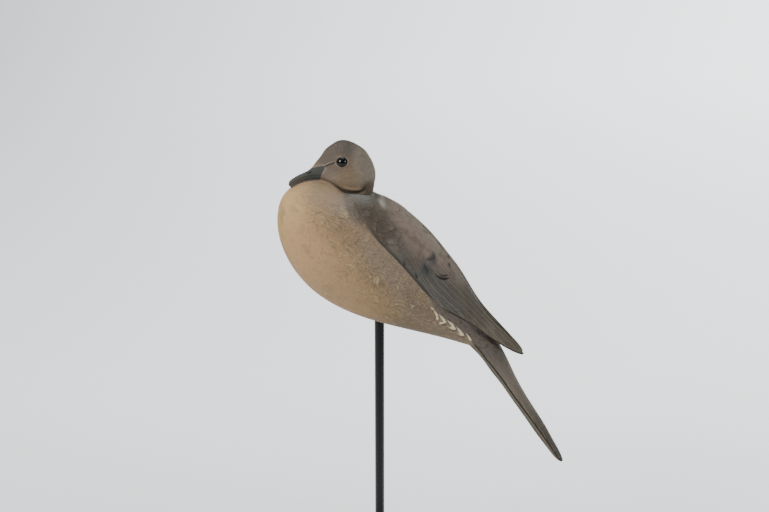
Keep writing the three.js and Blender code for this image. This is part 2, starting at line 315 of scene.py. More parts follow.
def body_point(t, a):
    """A point of the body: the section at t is an oval of height back or belly and width side.

    All are scaled by sin(acos(1 - 2t)), which closes the egg round at both ends. Behind the wing's
    edge the width is less by flank_step, eased in over 1.6 mm, and over 12.6 mm at the shoulder,
    where the carver has blended breast and wing.
    """
    turn = np.arccos(1 - 2 * t) / np.pi
    swell = np.sin(np.arccos(1 - 2 * t))
    high = np.where(np.sin(a) > 0, back_line(turn), belly_line(turn))
    along = body_front + (body_rear - body_front) * t
    above = body_axis + swell * high * fuller(np.sin(a), body_squareness)
    x, z = fallen(along, above, body_fall)
    across, along_edge = across_and_along(wing_edge, x / mm, z / mm)
    blend = shoulder_softness * (1 - eased(along_edge, shoulder_ends, crisp_begins))
    deeper = flank_step * eased(across, rim_begins - blend, rim_ends + blend)
    y = swell * (side_line(turn) - deeper) * fuller(np.cos(a), body_squareness)
    return in_bird(x, y, z)


body_skin = closed_skin(body_point, 300, 260)
print(f"body: {len(body_skin[0])} points")

# %% [markdown]
# ## Head, bill and neck
#
# Head and bill are one form along an axis that points down to the bill's tip, as on a resting
# dove with its chin tucked in. The neck is an oval post that joins it to the body.

# %% Head and neck
head_fall = math.radians(21)
head_x, head_z = shares([-7.8, 38.3])
head_back, bill_tip = shares([-6.4, 13.8])
middle_line = smooth_line(
    shares([-1.1, -0.75, -0.4, 0, 0.2, 0.75, 1.3, 1.5, 1.55, 1.55, 1.4, 1.0]))
crown_line = smooth_line(
    shares([5.9, 7.1, 7.25, 6.8, 6.2, 5.05, 3.1, 1.75, 1.1, 0.95, 0.85, 0.75]))
throat_line = smooth_line(
    shares([7.1, 7.8, 8.4, 8.2, 7.4, 6.1, 3.5, 1.8, 1.1, 0.8, 0.75, 0.7]))
cheek_line = smooth_line(
    shares([4.8, 5.2, 5.3, 5.2, 4.9, 4.1, 2.8, 1.6, 1.2, 1.0, 0.9, 0.75]))
nape_round, bill_round = 0.34, 0.045
throat_squareness = 0.85
neck_foot, neck_top = shares([23.0, 41.6])
neck_middle = smooth_line(shares([-6.3, -6.5, -6.8, -7.2]))
neck_depth = smooth_line(shares([5.6, 5.2, 5.6, 5.2]))
neck_width = smooth_line(shares([5.2, 4.7, 4.5, 4.5]))
neck_round = 0.2


def head_point(t, a):
    """A point of head and bill: an oval of crown, throat and cheek round the middle line."""
    rounded = round_ends(t, nape_round, bill_round)
    power = np.where(np.sin(a) > 0, 1, throat_squareness)
    high = np.where(np.sin(a) > 0, crown_line(t), throat_line(t))
    along = head_back + (bill_tip - head_back) * t
    above = middle_line(t) + rounded * high * fuller(np.sin(a), power)
    x, z = fallen(-along, above, -head_fall)
    y = rounded * cheek_line(t) * fuller(np.cos(a), power)
    return in_bird(head_x + x, y, head_z + z)


def neck_point(t, a):
    """A point of the neck: an upright oval of depth and width round its own middle line."""
    rounded = round_ends(t, neck_round, neck_round)
    return in_bird(neck_middle(t) + rounded * neck_depth(t) * np.cos(a),
                   rounded * neck_width(t) * np.sin(a),
                   neck_foot + (neck_top - neck_foot) * t)


head_skin = closed_skin(head_point, 160, 120)
neck_skin = closed_skin(neck_point, 90, 120)
print(f"head and neck: {len(head_skin[0]) + len(neck_skin[0])} points")

# %% [markdown]
# ## Wings and tail
#
# Each folded wing is a blade between an upper and a lower edge. Its front melts into the back and
# its tip stands free over the tail. The tail is two layers of closed feathers, the upper one a
# little wider, which leaves the fine groove that runs along each side.

# %% Wings
wing_upper = smooth_path(shares([
    [0.7, 4.5, 29.7], [6.7, 3.2, 26.6], [12.6, 2.2, 21.4], [18.6, 1.7, 13.8],
    [23.8, 1.35, 5.0], [29.2, 1.0, -1.5], [35.4, 0.3, -8.3]]))
wing_lower = smooth_path(shares([
    [-3.0, 9.1, 27.7], [3.7, 10.9, 20.5], [10.0, 10.6, 12.9], [16.0, 9.4, 7.2],
    [21.6, 7.4, 2.8], [27.9, 4.8, -3.2], [35.4, 1.5, -8.8]]))
wing_outside = smooth_line(shares([0.6, 1.2, 1.4, 1.3, 1.05, 0.95, 0.6]))
wing_inside = smooth_line(shares([1.1, 1.1, 1.1, 0.9, 0.8, 0.75, 0.55]))
wing_front_round, wing_tip_round = 0.2, 0.06
wing_squareness = 0.9
# A direction on a form comes from two places this share of its length apart
small_step = 0.001


def wing_point(side):
    """The skin of one wing: an oval between its two edges, swollen square to the blade.

    The blade's direction is the cross product of the half width and the step along both edges.
    """
    mirror = np.array([1, side, 1])

    def point(t, a):
        """Half the blade's width times cos a, and its swell times sin a, out from the middle."""
        upper, lower = wing_upper(t), wing_lower(t)
        middle, half = (upper + lower) / 2, (upper - lower) / 2
        ahead, behind = np.minimum(t + small_step, 1), np.maximum(t - small_step, 0)
        forward = wing_upper(ahead) + wing_lower(ahead) - wing_upper(behind) - wing_lower(behind)
        out = np.cross(half, forward)
        out *= np.sign(out[..., 1:2]) / np.linalg.norm(out, axis=-1, keepdims=True)
        rounded = round_ends(t, wing_front_round, wing_tip_round)
        swell = np.where(np.sin(a) > 0, wing_outside(t), wing_inside(t))
        wide = rounded * fuller(np.cos(a), wing_squareness)
        thick = rounded * swell * fuller(np.sin(a), wing_squareness)
        x, y, z = np.moveaxis(middle + wide[..., None] * half + thick[..., None] * out, -1, 0)
        return in_bird(x, y, z) * mirror

    return point


wing_skins = [closed_skin(wing_point(side), 220, 110) for side in (-1, 1)]
print(f"wings: {sum(len(skin[0]) for skin in wing_skins)} points")

# %% Tail
tail_x = smooth_line(shares([13.0, 20.4, 27.1, 33.3, 39.8, 46.8]))
tail_z = smooth_line(shares([6.3, -1.3, -8.9, -18.1, -27.7, -39.0]))
tail_half_width = smooth_line(shares([7.4, 6.5, 5.0, 3.9, 3.0, 1.3]))
tail_crown = smooth_line(shares([5.2, 4.8, 3.3, 1.8, 1.0, 0.55]))
tail_slab = smooth_line(shares([1.3, 1.2, 1.3, 1.5, 1.5, 1.1]))
tail_overhang, tail_lip = shares([0.26, 0.33])
tail_front_round, tail_tip_round = 0.15, 0.06
tail_squareness, slab_squareness, slab_lift = 0.9, 0.6, 1.1


def tail_place(t, across, above):
    """Positions at distances to the side of the tail's middle line and square above it."""
    ahead, behind = np.minimum(t + small_step, 1), np.maximum(t - small_step, 0)
    run_x, run_z = tail_x(ahead) - tail_x(behind), tail_z(ahead) - tail_z(behind)
    run = np.hypot(run_x, run_z)
    return in_bird(tail_x(t) - run_z / run * above, across, tail_z(t) + run_x / run * above)


def tail_upper_point(t, a):
    """The upper layer: a crown above the middle line and a thin lip below it."""
    rounded = round_ends(t, tail_front_round, tail_tip_round)
    high = np.where(np.sin(a) > 0, tail_crown(t), tail_lip)
    return tail_place(t, rounded * tail_half_width(t) * fuller(np.cos(a), tail_squareness),
                      rounded * high * fuller(np.sin(a), tail_squareness))


def tail_slab_point(t, a):
    """The lower layer: a flat slab, narrower by the overhang, whose top lies in the upper layer."""
    rounded = round_ends(t, tail_front_round, tail_tip_round)
    half_width = tail_half_width(t) - tail_overhang
    lifted = fuller(np.sin(a), slab_squareness) * slab_lift - 1
    return tail_place(t, rounded * half_width * fuller(np.cos(a), slab_squareness),
                      rounded * tail_slab(t) / 2 * lifted)


tail_skins = [closed_skin(tail_upper_point, 260, 120), closed_skin(tail_slab_point, 260, 120)]
print(f"tail: {sum(len(skin[0]) for skin in tail_skins)} points")

# %% [markdown]
# ## One piece of wood
#
# The forms overlap as the carver's volumes do. A boolean union would keep every thin sliver where
# two skins cross, so the Remesh modifier's voxels melt them into one even skin instead, and a few
# rounds of sanding take off the voxels' steps. The sanding goes in and out by turns, so the wood
# isn't worn thinner.

# %% Melt and sand
wood_voxel = 0.77 * mm
sanding_rounds = 9
sand_in, sand_out = 0.5, -0.52

blank = piece_of("blank", mesh_of("blank", body_skin, head_skin, neck_skin, *wing_skins, *tail_skins))
melt = blank.modifiers.new("One piece", "REMESH")
melt.mode = "VOXEL"
melt.voxel_size = wood_voxel
evaluated = bpy.context.evaluated_depsgraph_get()
wood = bpy.data.meshes.new_from_object(blank.evaluated_get(evaluated), depsgraph=evaluated)
bpy.data.objects.remove(blank)


def read_points(mesh):
    """All vertex positions of a mesh as an array."""
    points = np.empty(len(mesh.vertices) * 3)
    mesh.vertices.foreach_get("co", points)
    return points.reshape(-1, 3)


def write_points(mesh, points):
    """Puts all vertex positions back into the mesh."""
    mesh.vertices.foreach_set("co", points.ravel())
    mesh.update()


def neighbour_mean(values, edges, count):
    """For every vertex, the mean of its neighbours' values, summed over all edges both ways."""
    total = np.zeros((count, values.shape[1]))
    for column in range(values.shape[1]):
        total[:, column] = (np.bincount(edges[:, 0], values[edges[:, 1], column], count)
                            + np.bincount(edges[:, 1], values[edges[:, 0], column], count))
    met = np.bincount(edges.ravel(), minlength=count)
    return total / np.maximum(met, 1)[:, None]


def normals_of(mesh):
    """The smooth surface direction at each vertex."""
    out = np.empty(len(mesh.vertices) * 3, np.float32)
    mesh.vertex_normals.foreach_get("vector", out)
    return out.reshape(-1, 3)


edges = np.empty(len(wood.edges) * 2, np.int32)
wood.edges.foreach_get("vertices", edges)
edges = edges.reshape(-1, 2)
points = read_points(wood)
for _ in range(sanding_rounds):
    for pull in (sand_in, sand_out):
        points += pull * (neighbour_mean(points, edges, len(points)) - points)
write_points(wood, points)
dove = piece_of("painted_dove", wood)
print(f"the dove has {len(wood.vertices)} vertices and {len(wood.polygons)} faces")

# %% [markdown]
# ## Last corrections of the outline
#
# A carver lays the sanded bird on the side view and corrects the outline: a little filler where it
# is lean, a last stroke of the rasp where it is full. Each correction fades out like a bell curve
# round its place, and it moves the wood only up, down, forwards or back, so the width stays.

# %% Last corrections of the outline
# x and z of the place in the bird's frame, how far the correction reaches, and its depth, all in mm
corrections = [
    (-39, 107, 4, 0.7),
    (-10, 114, 5, 0.8),
    (-3.5, 98, 6, 0.4),
    (-1, 86.5, 4, -1.0),
    (15, 76, 8, 0.9),
    (44, 46, 12, -0.6),
    (74, -30, 10, 0.85),
    (106, -81, 13, 0.5),
]
wood_normals = normals_of(wood)
filled = np.zeros(len(points))
for x_mm, z_mm, reach_mm, depth_mm in corrections:
    away = np.hypot(points[:, 0] / mm - x_mm, (points[:, 2] - belly_height) / mm - z_mm)
    filled += depth_mm * mm * np.exp(-(away / reach_mm) ** 2)
points += filled[:, None] * wood_normals * [1, 0, 1]
write_points(wood, points)
print(f"the outline moves by {filled.min() / mm:.1f} to {filled.max() / mm:.1f} mm")

# %% [markdown]
# ## Glass eyes and the rims round them
#
# Glass eyes are domes of black glass, bought in pairs and bedded in the wood with filler. The filler
# is drawn up round the glass as a thin raised rim, which is pushed out of the wood's own mesh here.
# An eye looks along the head's own surface direction, from a cross product of two small steps.

# %% Where the eyes sit
eye_radius, eye_shank, eye_proud = 3.5 * mm, 1.5 * mm, 2 * mm
eye_station, eye_turn = 0.295, math.radians(25)


def eye_seat():
    """The dome's centre and the direction it looks, for the eye on the +Y side."""
    t = np.array([eye_station, eye_station + small_step, eye_station])
    a = np.array([eye_turn, eye_turn, eye_turn + small_step])
    spot, ahead, above = head_point(t, a)
    look = np.cross(ahead - spot, above - spot)
    look *= np.sign(look[1]) / np.linalg.norm(look)
    return spot + (eye_proud - eye_radius) * look, look


eye_centre, eye_look = eye_seat()
print("each eye looks along", eye_look.round(2))

# %% Raised rims
rim_middle, rim_half, rim_height = 4.0 * mm, 0.75 * mm, 0.42 * mm
lid_squeeze = 1.27
# The rim is shaped no deeper than this behind the dome's centre: further in counts as far away
rim_depth, far_away = 4 * mm, 1.0
eye_up = np.array([0, 0, 1]) - eye_look[2] * eye_look
eye_up /= np.linalg.norm(eye_up)


def from_eye(places):
    """Distance of each place from the axis of the eye on its own side, longer above and below it.

    Lids hide a little of the glass above and below. With r the true distance and h its share up or
    down the head, the distance is the root of r r + (lid_squeeze lid_squeeze - 1) h h.
    """
    offset = places.copy()
    offset[:, 1] = np.abs(offset[:, 1])
    offset -= eye_centre
    depth = offset @ eye_look
    beside = offset - depth[:, None] * eye_look
    squares = (beside ** 2).sum(1) + (lid_squeeze ** 2 - 1) * (beside @ eye_up) ** 2
    return np.where(depth > -rim_depth, np.sqrt(squares), far_away)


swell_out = rim_height * np.exp(-((from_eye(points) - rim_middle) / rim_half) ** 2)
points += swell_out[:, None] * normals_of(wood)
write_points(wood, points)
eye_ring = from_eye(points) / mm
print(f"the rims raise {np.count_nonzero(swell_out > 0.1 * mm)} points")

# %% [markdown]
# ## Turned forms
#
# A dome of glass and a bar of steel are both round, and a lathe turns both from a section. A Screw
# modifier could do that here. A short function does it as well, with closed ends, and hands over
# the same vertices, quads and triangles as the other skins.


# %% Turned pieces
def turned_skin(section, sides):
    """A skin turned round +Z from [radius, height] pairs whose first and last lie on the axis."""
    section = np.array(section, float)
    rings, a = section[1:-1], 2 * np.pi * np.arange(sides) / sides
    wall = np.stack([rings[:, :1] * np.cos(a), rings[:, :1] * np.sin(a),
                     rings[:, 1:] + 0 * a], -1).reshape(-1, 3)
    ends = [[0, 0, section[0, 1]], [0, 0, section[-1, 1]]]
    return np.vstack([ends[:1], wall, ends[1:]]), *ring_faces(len(rings), sides)


def turned_to(direction, places):
    """Places turned so that +Z points along a direction, by the frame of three square axes."""
    beside = np.cross([0.0, 0.0, 1.0], direction)
    beside /= np.linalg.norm(beside)
    return places @ np.stack([beside, np.cross(direction, beside), direction])


print("turned to +X, the place +Z goes to", turned_to(np.array([1.0, 0, 0]), np.array([0, 0, 1.0])))

# %% Eyes
# The shank's back rim is ground off a little, to these shares of the radius and of the shank
ground_radius, ground_shank = 0.94, 0.85
dome = np.linspace(0, np.pi / 2, 25)
eye_section = [[0, -eye_shank], [eye_radius * ground_radius, -eye_shank],
               [eye_radius, -eye_shank * ground_shank],
               *np.stack([eye_radius * np.cos(dome), eye_radius * np.sin(dome)], -1)]
eyes = {}
for side, name in ((-1, "left_eye"), (1, "right_eye")):
    places, quads, tris = turned_skin(eye_section, 64)
    mirror = [1, side, 1]
    seated = turned_to(eye_look, places) + eye_centre
    eyes[name] = piece_of("glass_" + name, mesh_of(name, (seated * mirror, quads, tris)))
    from_axis = np.hypot(places[:, 0], places[:, 1]) / mm
    eyes[name].data.attributes.new("from_axis", "FLOAT", "POINT").data.foreach_set(
        "value", from_axis.astype(np.float32))
print("eyes:", [len(eye.data.vertices) for eye in eyes.values()], "points")

# %% [markdown]
# ## Rod and base
#
# The rod is a round steel bar with its sawn ends broken, and the base a steel plate with rounded
# corners and edges. Both are sprayed satin black. The rod is turned from a short section like the
# eyes, and the plate is the same idea with a rounded square in place of the circle.

# %% Rod
rod_radius = (rod_high.x - rod_low.x) / 2
broken_edge = 0.5 * mm


def quarter(radius, steps=5):
    """Points of a quarter round, from 0 to 90 degrees."""
    turn = np.linspace(0, np.pi / 2, steps)
    return radius * np.sin(turn), radius * (1 - np.cos(turn))


inset, rise = quarter(broken_edge)
rod_section = ([[0, rod_low.z]]
               + [[rod_radius - broken_edge + a, rod_low.z + b] for a, b in zip(inset, rise)]
               + [[rod_radius - broken_edge + a, rod_high.z - b] for a, b in zip(inset[::-1], rise[::-1])]
               + [[0, rod_high.z]])
rod = piece_of("round_bar", mesh_of("round_bar", turned_skin(rod_section, 72)))
print(f"the rod is {2 * rod_radius / mm:.2f} mm thick")

# %% Base plate
base_half = (base_high.x - base_low.x) / 2
base_corner, base_edge, corner_steps = 6 * mm, 0.8 * mm, 14
flat_inset = base_edge + 1 * mm


def plate_outline(inset):
    """A rounded square with every side drawn in by inset: four quarter rounds, joined."""
    radius = base_corner - inset
    middle = base_half - base_corner
    places = []
    for corner in range(4):
        a = np.linspace(0, np.pi / 2, corner_steps) + corner * np.pi / 2
        turn = (corner + 0.5) * np.pi / 2
        round_middle = middle * np.sqrt(2) * np.array([math.cos(turn), math.sin(turn)])
        places.append(round_middle + radius * np.stack([np.cos(a), np.sin(a)], -1))
    return np.vstack(places)


inset, rise = quarter(base_edge)
plate_rings = ([[flat_inset, 0]] + [[base_edge - a, b] for a, b in zip(inset, rise)]
               + [[base_edge - a, base_high.z - b] for a, b in zip(inset[::-1], rise[::-1])]
               + [[flat_inset, base_high.z]])
plate_sides = 4 * corner_steps
outlines = [np.column_stack([plate_outline(drawn_in), np.full(plate_sides, height)])
            for drawn_in, height in plate_rings]
places = np.vstack([[[0, 0, 0]], *outlines, [[0, 0, base_high.z]]])
quads, tris = ring_faces(len(plate_rings), plate_sides)
base = piece_of("foot_plate", mesh_of("foot_plate", (places, quads, tris)))
print(f"the base is {2 * base_half / mm:.0f} mm square")

# %% [markdown]
# ## A map for the paint
#
# The painter needs to know where on the bird each point is. A photograph of paint could be wrapped
# round the wood, but here every vertex carries a few smooth numbers instead: distances across and
# along the drawn lines, and a place in the flow of the feathers. The nodes then draw crisp marks
# from them, finer than the mesh itself.

# %% Lines of wing and tail
x, z = points[:, 0] / mm, (points[:, 2] - belly_height) / mm
y = np.abs(points[:, 1]) / mm

# The white marks stand along the front of the tail feathers' edge, which runs on as the tail's groove
marks_path = [[30.2, 34], [31.2, 27.4], [33.4, 21], [36.6, 15.2], [41, 10.4], [46.3, 5.9],
              [51.6, 1.0], [56.6, -4.2], [60.9, -9.0], [64.8, -14.0], [68.4, -19.4]]
groove_begins = 0.405
groove_t = np.linspace(groove_begins, 1, 120)
groove_run = np.stack([np.gradient(tail_x(groove_t)), np.gradient(tail_z(groove_t))], -1)
groove_run /= np.linalg.norm(groove_run, axis=1, keepdims=True)
groove = np.stack([tail_x(groove_t) + tail_lip * groove_run[:, 1],
                   tail_z(groove_t) - tail_lip * groove_run[:, 0]], -1) / mm
covert_edge = measured(np.vstack([smooth_path(marks_path)(np.linspace(0, 1, 80)), groove]))
ridge = drawn_line([
    [-4, 87.5], [6.5, 83.2], [16.8, 76.6], [26.0, 68.3], [34.6, 59.0], [42.4, 49.2], [49.6, 39.4],
    [56.4, 29.0], [62.6, 18.6], [68.2, 7.8], [75.5, -2.0], [84.5, -11.5], [94.6, -21.5]])
print(f"marks and groove: {covert_edge[2][-1]:.0f} mm, ridge: {ridge[2][-1]:.0f} mm")

# %% Lines of the head
# The edge of the feathers on the bill: it runs back along the top, then down to the chin
bill_edge = drawn_line([[-46.5, 102.3], [-43.9, 103.1], [-41.2, 104.0], [-38.5, 105.1], [-35.8, 106.2],
                        [-33.4, 106.4], [-34.2, 103.9], [-35.4, 101.3], [-36.3, 98.6], [-37.0, 95.9]])
lore = drawn_line([[-36, 104.9], [-32.6, 107.0], [-29.2, 108.9], [-25.8, 110.5]])
mandible = drawn_line([[-58, 91], [-53.2, 95.2], [-47.6, 98.0], [-41.6, 99.7], [-35.6, 100.3]])
# The crease under the cheek, which curls up behind it
crease = drawn_line([[-39.5, 98.4], [-36, 98.1], [-32.6, 97.5], [-29.3, 96.3], [-26.2, 94.6], [-23.1, 92.8],
                     [-19.8, 91.7], [-16.4, 91.1], [-13, 90.9], [-10, 91.7], [-8.4, 94.4], [-8.2, 97.6]])
print(f"crease: {crease[2][-1]:.0f} mm, line to the eye: {lore[2][-1]:.0f} mm")

# %% Measure every point of the wood
wing_across, wing_along = across_and_along(wing_edge, x, z)
covert_across, covert_along = across_and_along(covert_edge, x, z)
ridge_across, _ = across_and_along(ridge, x, z)
bill_across, _ = across_and_along(bill_edge, x, z)
lore_across, lore_along = across_and_along(lore, x, z)
mandible_across, _ = across_and_along(mandible, x, z)
crease_across, crease_along = across_and_along(crease, x, z)
print(f"{np.count_nonzero(wing_across > 0)} points lie above the wing's edge")

# %% [markdown]
# ## The crease under the cheek
#
# A carver cuts this line with a V-shaped gouge, deepest under the cheek and run out at both ends.
# A boolean cut would leave ragged edges in a fine mesh. Pushing the points in by a bell curve of
# their distance from the line gives the same soft furrow.

# %% Cut the crease
crease_depth, crease_half = 1.3 * mm, 1.0
crease_run = float(crease[2][-1])
cut = crease_depth * np.exp(-(crease_across / crease_half) ** 2)
cut *= eased(crease_along, 3, 24) * eased(-crease_along, 2 - crease_run, 8 - crease_run)
points -= cut[:, None] * normals_of(wood)
write_points(wood, points)
print(f"the crease is cut into {np.count_nonzero(cut > 0.3 * mm)} points")

# %% [markdown]
# ## The flow of the feathers
#
# Feathers lie in rows from the bill to the tail, round the body and round the head, each on its own
# axis. So every point gets a place in millimetres along the axis and round it. Whether it belongs
# to the body or to the head is told by how far it stands out of the body's egg.

# %% Place on the body's own skin
along_mm = x * math.cos(body_fall) - z * math.sin(body_fall)
above_mm = x * math.sin(body_fall) + z * math.cos(body_fall) - body_axis / mm
share_t = np.clip((along_mm * mm - body_front) / (body_rear - body_front), 0.001, 0.999)
body_turn = np.arccos(1 - 2 * share_t) / np.pi
body_swell = np.sin(np.arccos(1 - 2 * share_t)) / mm
body_high = np.where(above_mm > 0, back_line(body_turn), belly_line(body_turn)) * body_swell
body_wide = side_line(body_turn) * body_swell
# 1 on the body's own skin, more outside it: the oval's equation, solved for its scale
reach = ((np.abs(above_mm) / body_high) ** (2 / body_squareness)
         + (y / body_wide) ** (2 / body_squareness)) ** (body_squareness / 2)
proud = (1 - 1 / np.maximum(reach, 1e-3)) * np.hypot(above_mm, y)
# The head is what stands proud of the egg by up to 0.75 mm, above a slanting line and before the back
on_head = eased(proud, 0.15, 0.75) * eased(z - 0.4 * x, 82, 86) * eased(-x, -3, -0.5)
print(f"{np.count_nonzero(on_head > 0.5)} points belong to the head")

# %% Flow of the feathers
# How many mm of skin one radian is round the body and round the head
body_wrap, head_wrap = 33, 14
# The third number differs from side to side and from head to body, so that the two sides aren't
# painted as mirror images
side_step, head_step = 0.6, 1
side_mm = side_step * points[:, 1] / mm
head_x_mm, head_z_mm = x - head_x / mm, z - head_z / mm
head_along = -(head_x_mm * math.cos(head_fall) + head_z_mm * math.sin(head_fall))
head_above = head_z_mm * math.cos(head_fall) - head_x_mm * math.sin(head_fall)
body_flow = np.stack([along_mm, body_wrap * np.arctan2(y, -above_mm), side_mm], -1)
head_flow = np.stack([-head_along, head_wrap * np.arctan2(y, -head_above), side_mm + head_step], -1)
flow = np.where(on_head[:, None] > 0.5, head_flow, body_flow)
print("the flow runs over", np.ptp(flow, axis=0).round(), "mm")

# %% [markdown]
# ## Where painted shade goes
#
# The hollows get painted shade, dark as light leaves them, and the edges don't. The bend of the
# surface tells which is which. Blender has a pointiness value for it, but numpy's own is in known
# units and can be smoothed over the size of a real crease.

# %% Creases and edges
# How far the neighbours' mean lies outside a point, over the voxel squared, is the bend of the
# surface: above 0 in a crease, where painted shade goes, and below 0 on an edge
hollow = ((neighbour_mean(points, edges, len(points)) - points) * normals_of(wood)).sum(1)
hollow = hollow[:, None] / (wood_voxel ** 2) * mm
hollow_rounds = 3
for _ in range(hollow_rounds):
    hollow = neighbour_mean(hollow, edges, len(points))
print("hollow from", np.percentile(hollow, [0.5, 5, 50, 95, 99.5]).round(3))


# %% Keep the map on the wood
def keep(name, values):
    """Stores one number, or a row of three, for every vertex under a name the nodes can read."""
    three = np.ndim(values) == 2 and values.shape[1] == 3
    kind, key = ("FLOAT_VECTOR", "vector") if three else ("FLOAT", "value")
    wood.attributes.new(name, kind, "POINT").data.foreach_set(
        key, np.ascontiguousarray(values, np.float32).ravel())


rulers = {
    "wing_along": wing_along, "wing_across": wing_across, "ridge_across": ridge_across,
    "covert_along": covert_along, "covert_across": covert_across, "bill_across": bill_across,
    "mandible_across": mandible_across, "lore_along": lore_along, "lore_across": lore_across,
    "eye_ring": eye_ring, "crease_along": crease_along, "crease_across": crease_across,
    "head": on_head, "hollow": hollow[:, 0],
}
keep("flow", flow)
for name, values in rulers.items():
    keep(name, values)
print(f"{len(rulers)} numbers and the flow are kept at every point")

# %% [markdown]
# ## Paint from a few nodes
#
# One small function adds a node, sets it and wires it. Colours are written as the hex values that
# a colour chart gives, and one function turns them into the linear light that shaders work in.


# %% Nodes and colours
def linear(hex_colour):
    """An sRGB hex colour as linear RGBA: below 0.04045 a twelfth, above it a power of 2.4."""
    channels = np.array([int(hex_colour[n:n + 2], 16) for n in (1, 3, 5)]) / 255
    light = np.where(channels <= 0.04045, channels / 12.92, ((channels + 0.055) / 1.055) ** 2.4)
    return (*light.tolist(), 1.0)


def new_finish(name, roughness, specular=0.5):
    """A material with its main shader's roughness and specular level set."""
    finish = bpy.data.materials.new(name)
    finish.use_nodes = True
    shader = finish.node_tree.nodes["Principled BSDF"]
    shader.inputs["Roughness"].default_value = roughness
    shader.inputs["Specular IOR Level"].default_value = specular
    return finish, shader


def node(kind, inputs, **settings):
    """Adds a node to the tree in hand and returns its first live output.

    Settings are the node's own properties. Inputs are keyed by socket name or number: an output
    is linked, a hex colour is turned linear, and any other value is typed in.
    """
    made = tree.nodes.new("ShaderNode" + kind)
    for name, value in settings.items():
        setattr(made, name, value)
    live = [socket for socket in made.inputs if socket.enabled]
    for key, value in inputs.items():
        socket = live[key] if isinstance(key, int) else next(s for s in live if s.name == key)
        if isinstance(value, bpy.types.NodeSocket):
            tree.links.new(value, socket)
        else:
            socket.default_value = linear(value) if isinstance(value, str) else value
    return next(socket for socket in made.outputs if socket.enabled)


print("a chart's #808080 is", round(linear("#808080")[0], 3), "of white in linear light")

# %% Start of the feather paint
# Brushed on thin and matt: it hides the grain, and only its brush lines catch the light
feather_paint, feather_shader = new_finish("matt_artist_acrylic", 0.75, 0.14)
tree = feather_paint.node_tree

flow_at = node("Attribute", {}, attribute_name="flow").node.outputs["Vector"]
at = {name: node("Attribute", {}, attribute_name=name).node.outputs["Fac"] for name in rulers}
print(f"the paint reads {len(at)} rulers and the flow")


def band(value, rise, fall=None):
    """How far a value is past its rise and short of its fall, from 0 to 1.

    Rise and fall are pairs of levels, and between the two levels the band changes in an even S.
    """
    cover = node("MapRange", {"Value": value, "From Min": rise[0], "From Max": rise[1]},
                 interpolation_type="SMOOTHSTEP")
    if fall is None:
        return cover
    end = node("MapRange", {"Value": value, "From Min": fall[0], "From Max": fall[1],
                            "To Min": 1.0, "To Max": 0.0}, interpolation_type="SMOOTHSTEP")
    return node("Math", {0: cover, 1: end}, operation="MULTIPLY")


def all_of(*covers):
    """Covers multiplied together: the paint takes only where every one of them lets it."""
    cover = covers[0]
    for more in covers[1:]:
        cover = node("Math", {0: cover, 1: more}, operation="MULTIPLY")
    return cover


def brushed(ground, colour, *covers):
    """A colour laid over a ground where all the covers let it."""
    return node("Mix", {"Factor": all_of(*covers), "A": ground, "B": colour}, data_type="RGBA")


# %% The painter's hand
# A hand never paints an even line: a noise 9 mm wide shifts everything by up to 1.4 mm
hand_reach, side_share = 2.8, 0.35
wobble = node("TexNoise", {"Vector": flow_at, "Scale": 0.11, "Detail": 3.0}).node.outputs["Color"]
wobble = node("VectorMath", {0: wobble, 1: (0.5, 0.5, 0.5)}, operation="SUBTRACT")
wobble = node("VectorMath", {0: wobble, "Scale": hand_reach}, operation="SCALE")
hand_flow = node("VectorMath", {0: flow_at, 1: wobble}, operation="ADD")
# The side view in mm of the bird's frame, shaken by the same hand about a third as much
on_bird = node("TexCoord", {}).node.outputs["Object"]
hand_place = node("VectorMath", {0: on_bird, 1: (1 / mm, 1 / mm, 1 / mm), 2: (0, 0, -belly_height / mm)},
                  operation="MULTIPLY_ADD")
hand_shake = node("VectorMath", {0: wobble, "Scale": side_share}, operation="SCALE")
hand_place = node("VectorMath", {0: hand_place, 1: hand_shake}, operation="ADD")
place_x, place_y, place_z = node("SeparateXYZ", {0: hand_place}).node.outputs
print(f"lines shake by up to {hand_reach / 2} mm, in the side view by {hand_reach * side_share / 2:.1f} mm")


def weighed(x_share, z_share, start):
    """x_share times x plus z_share times z plus a start, which is a slanted ruler in the side view."""
    part = node("Math", {0: place_z, 1: z_share, 2: start}, operation="MULTIPLY_ADD")
    return node("Math", {0: place_x, 1: x_share, 2: part}, operation="MULTIPLY_ADD")


def side_view(x_mm, z_mm, half_long, half_wide, tilt):
    """Place in the side view from a middle, in half lengths along and half widths across.

    Tilt turns the long side down towards the tail, in degrees. Along is (x cos - z sin) and across
    (x sin + z cos), each measured from the middle.
    """
    c, s = math.cos(math.radians(tilt)), math.sin(math.radians(tilt))
    return (weighed(c / half_long, -s / half_long, (z_mm * s - x_mm * c) / half_long),
            weighed(s / half_wide, c / half_wide, (-x_mm * s - z_mm * c) / half_wide))


def patch(x_mm, z_mm, half_long, half_wide, tilt, soft):
    """An oval in the side view, with an edge as soft as a share of its size."""
    u, v = side_view(x_mm, z_mm, half_long, half_wide, tilt)
    squares = node("Math", {0: u, 1: u, 2: node("Math", {0: v, 1: v}, operation="MULTIPLY")},
                   operation="MULTIPLY_ADD")
    return band(squares, ((1 + soft) ** 2, (1 - soft) ** 2))


# %% [markdown]
# ## Ground colours
#
# First the large soft areas go on, as a painter blocks them in: fawn on the breast, rosy grey at
# the neck, umber on the flank, drab under the tail, mouse grey and sepia on back and wings. Each
# wash is an oval in the side view with a soft edge, laid over the ones before it.
#
# These areas are far larger than the wood's faces, so numpy works them out for every vertex, and
# the wood keeps them as vertex colours. That leaves the material's nodes for the fine work.

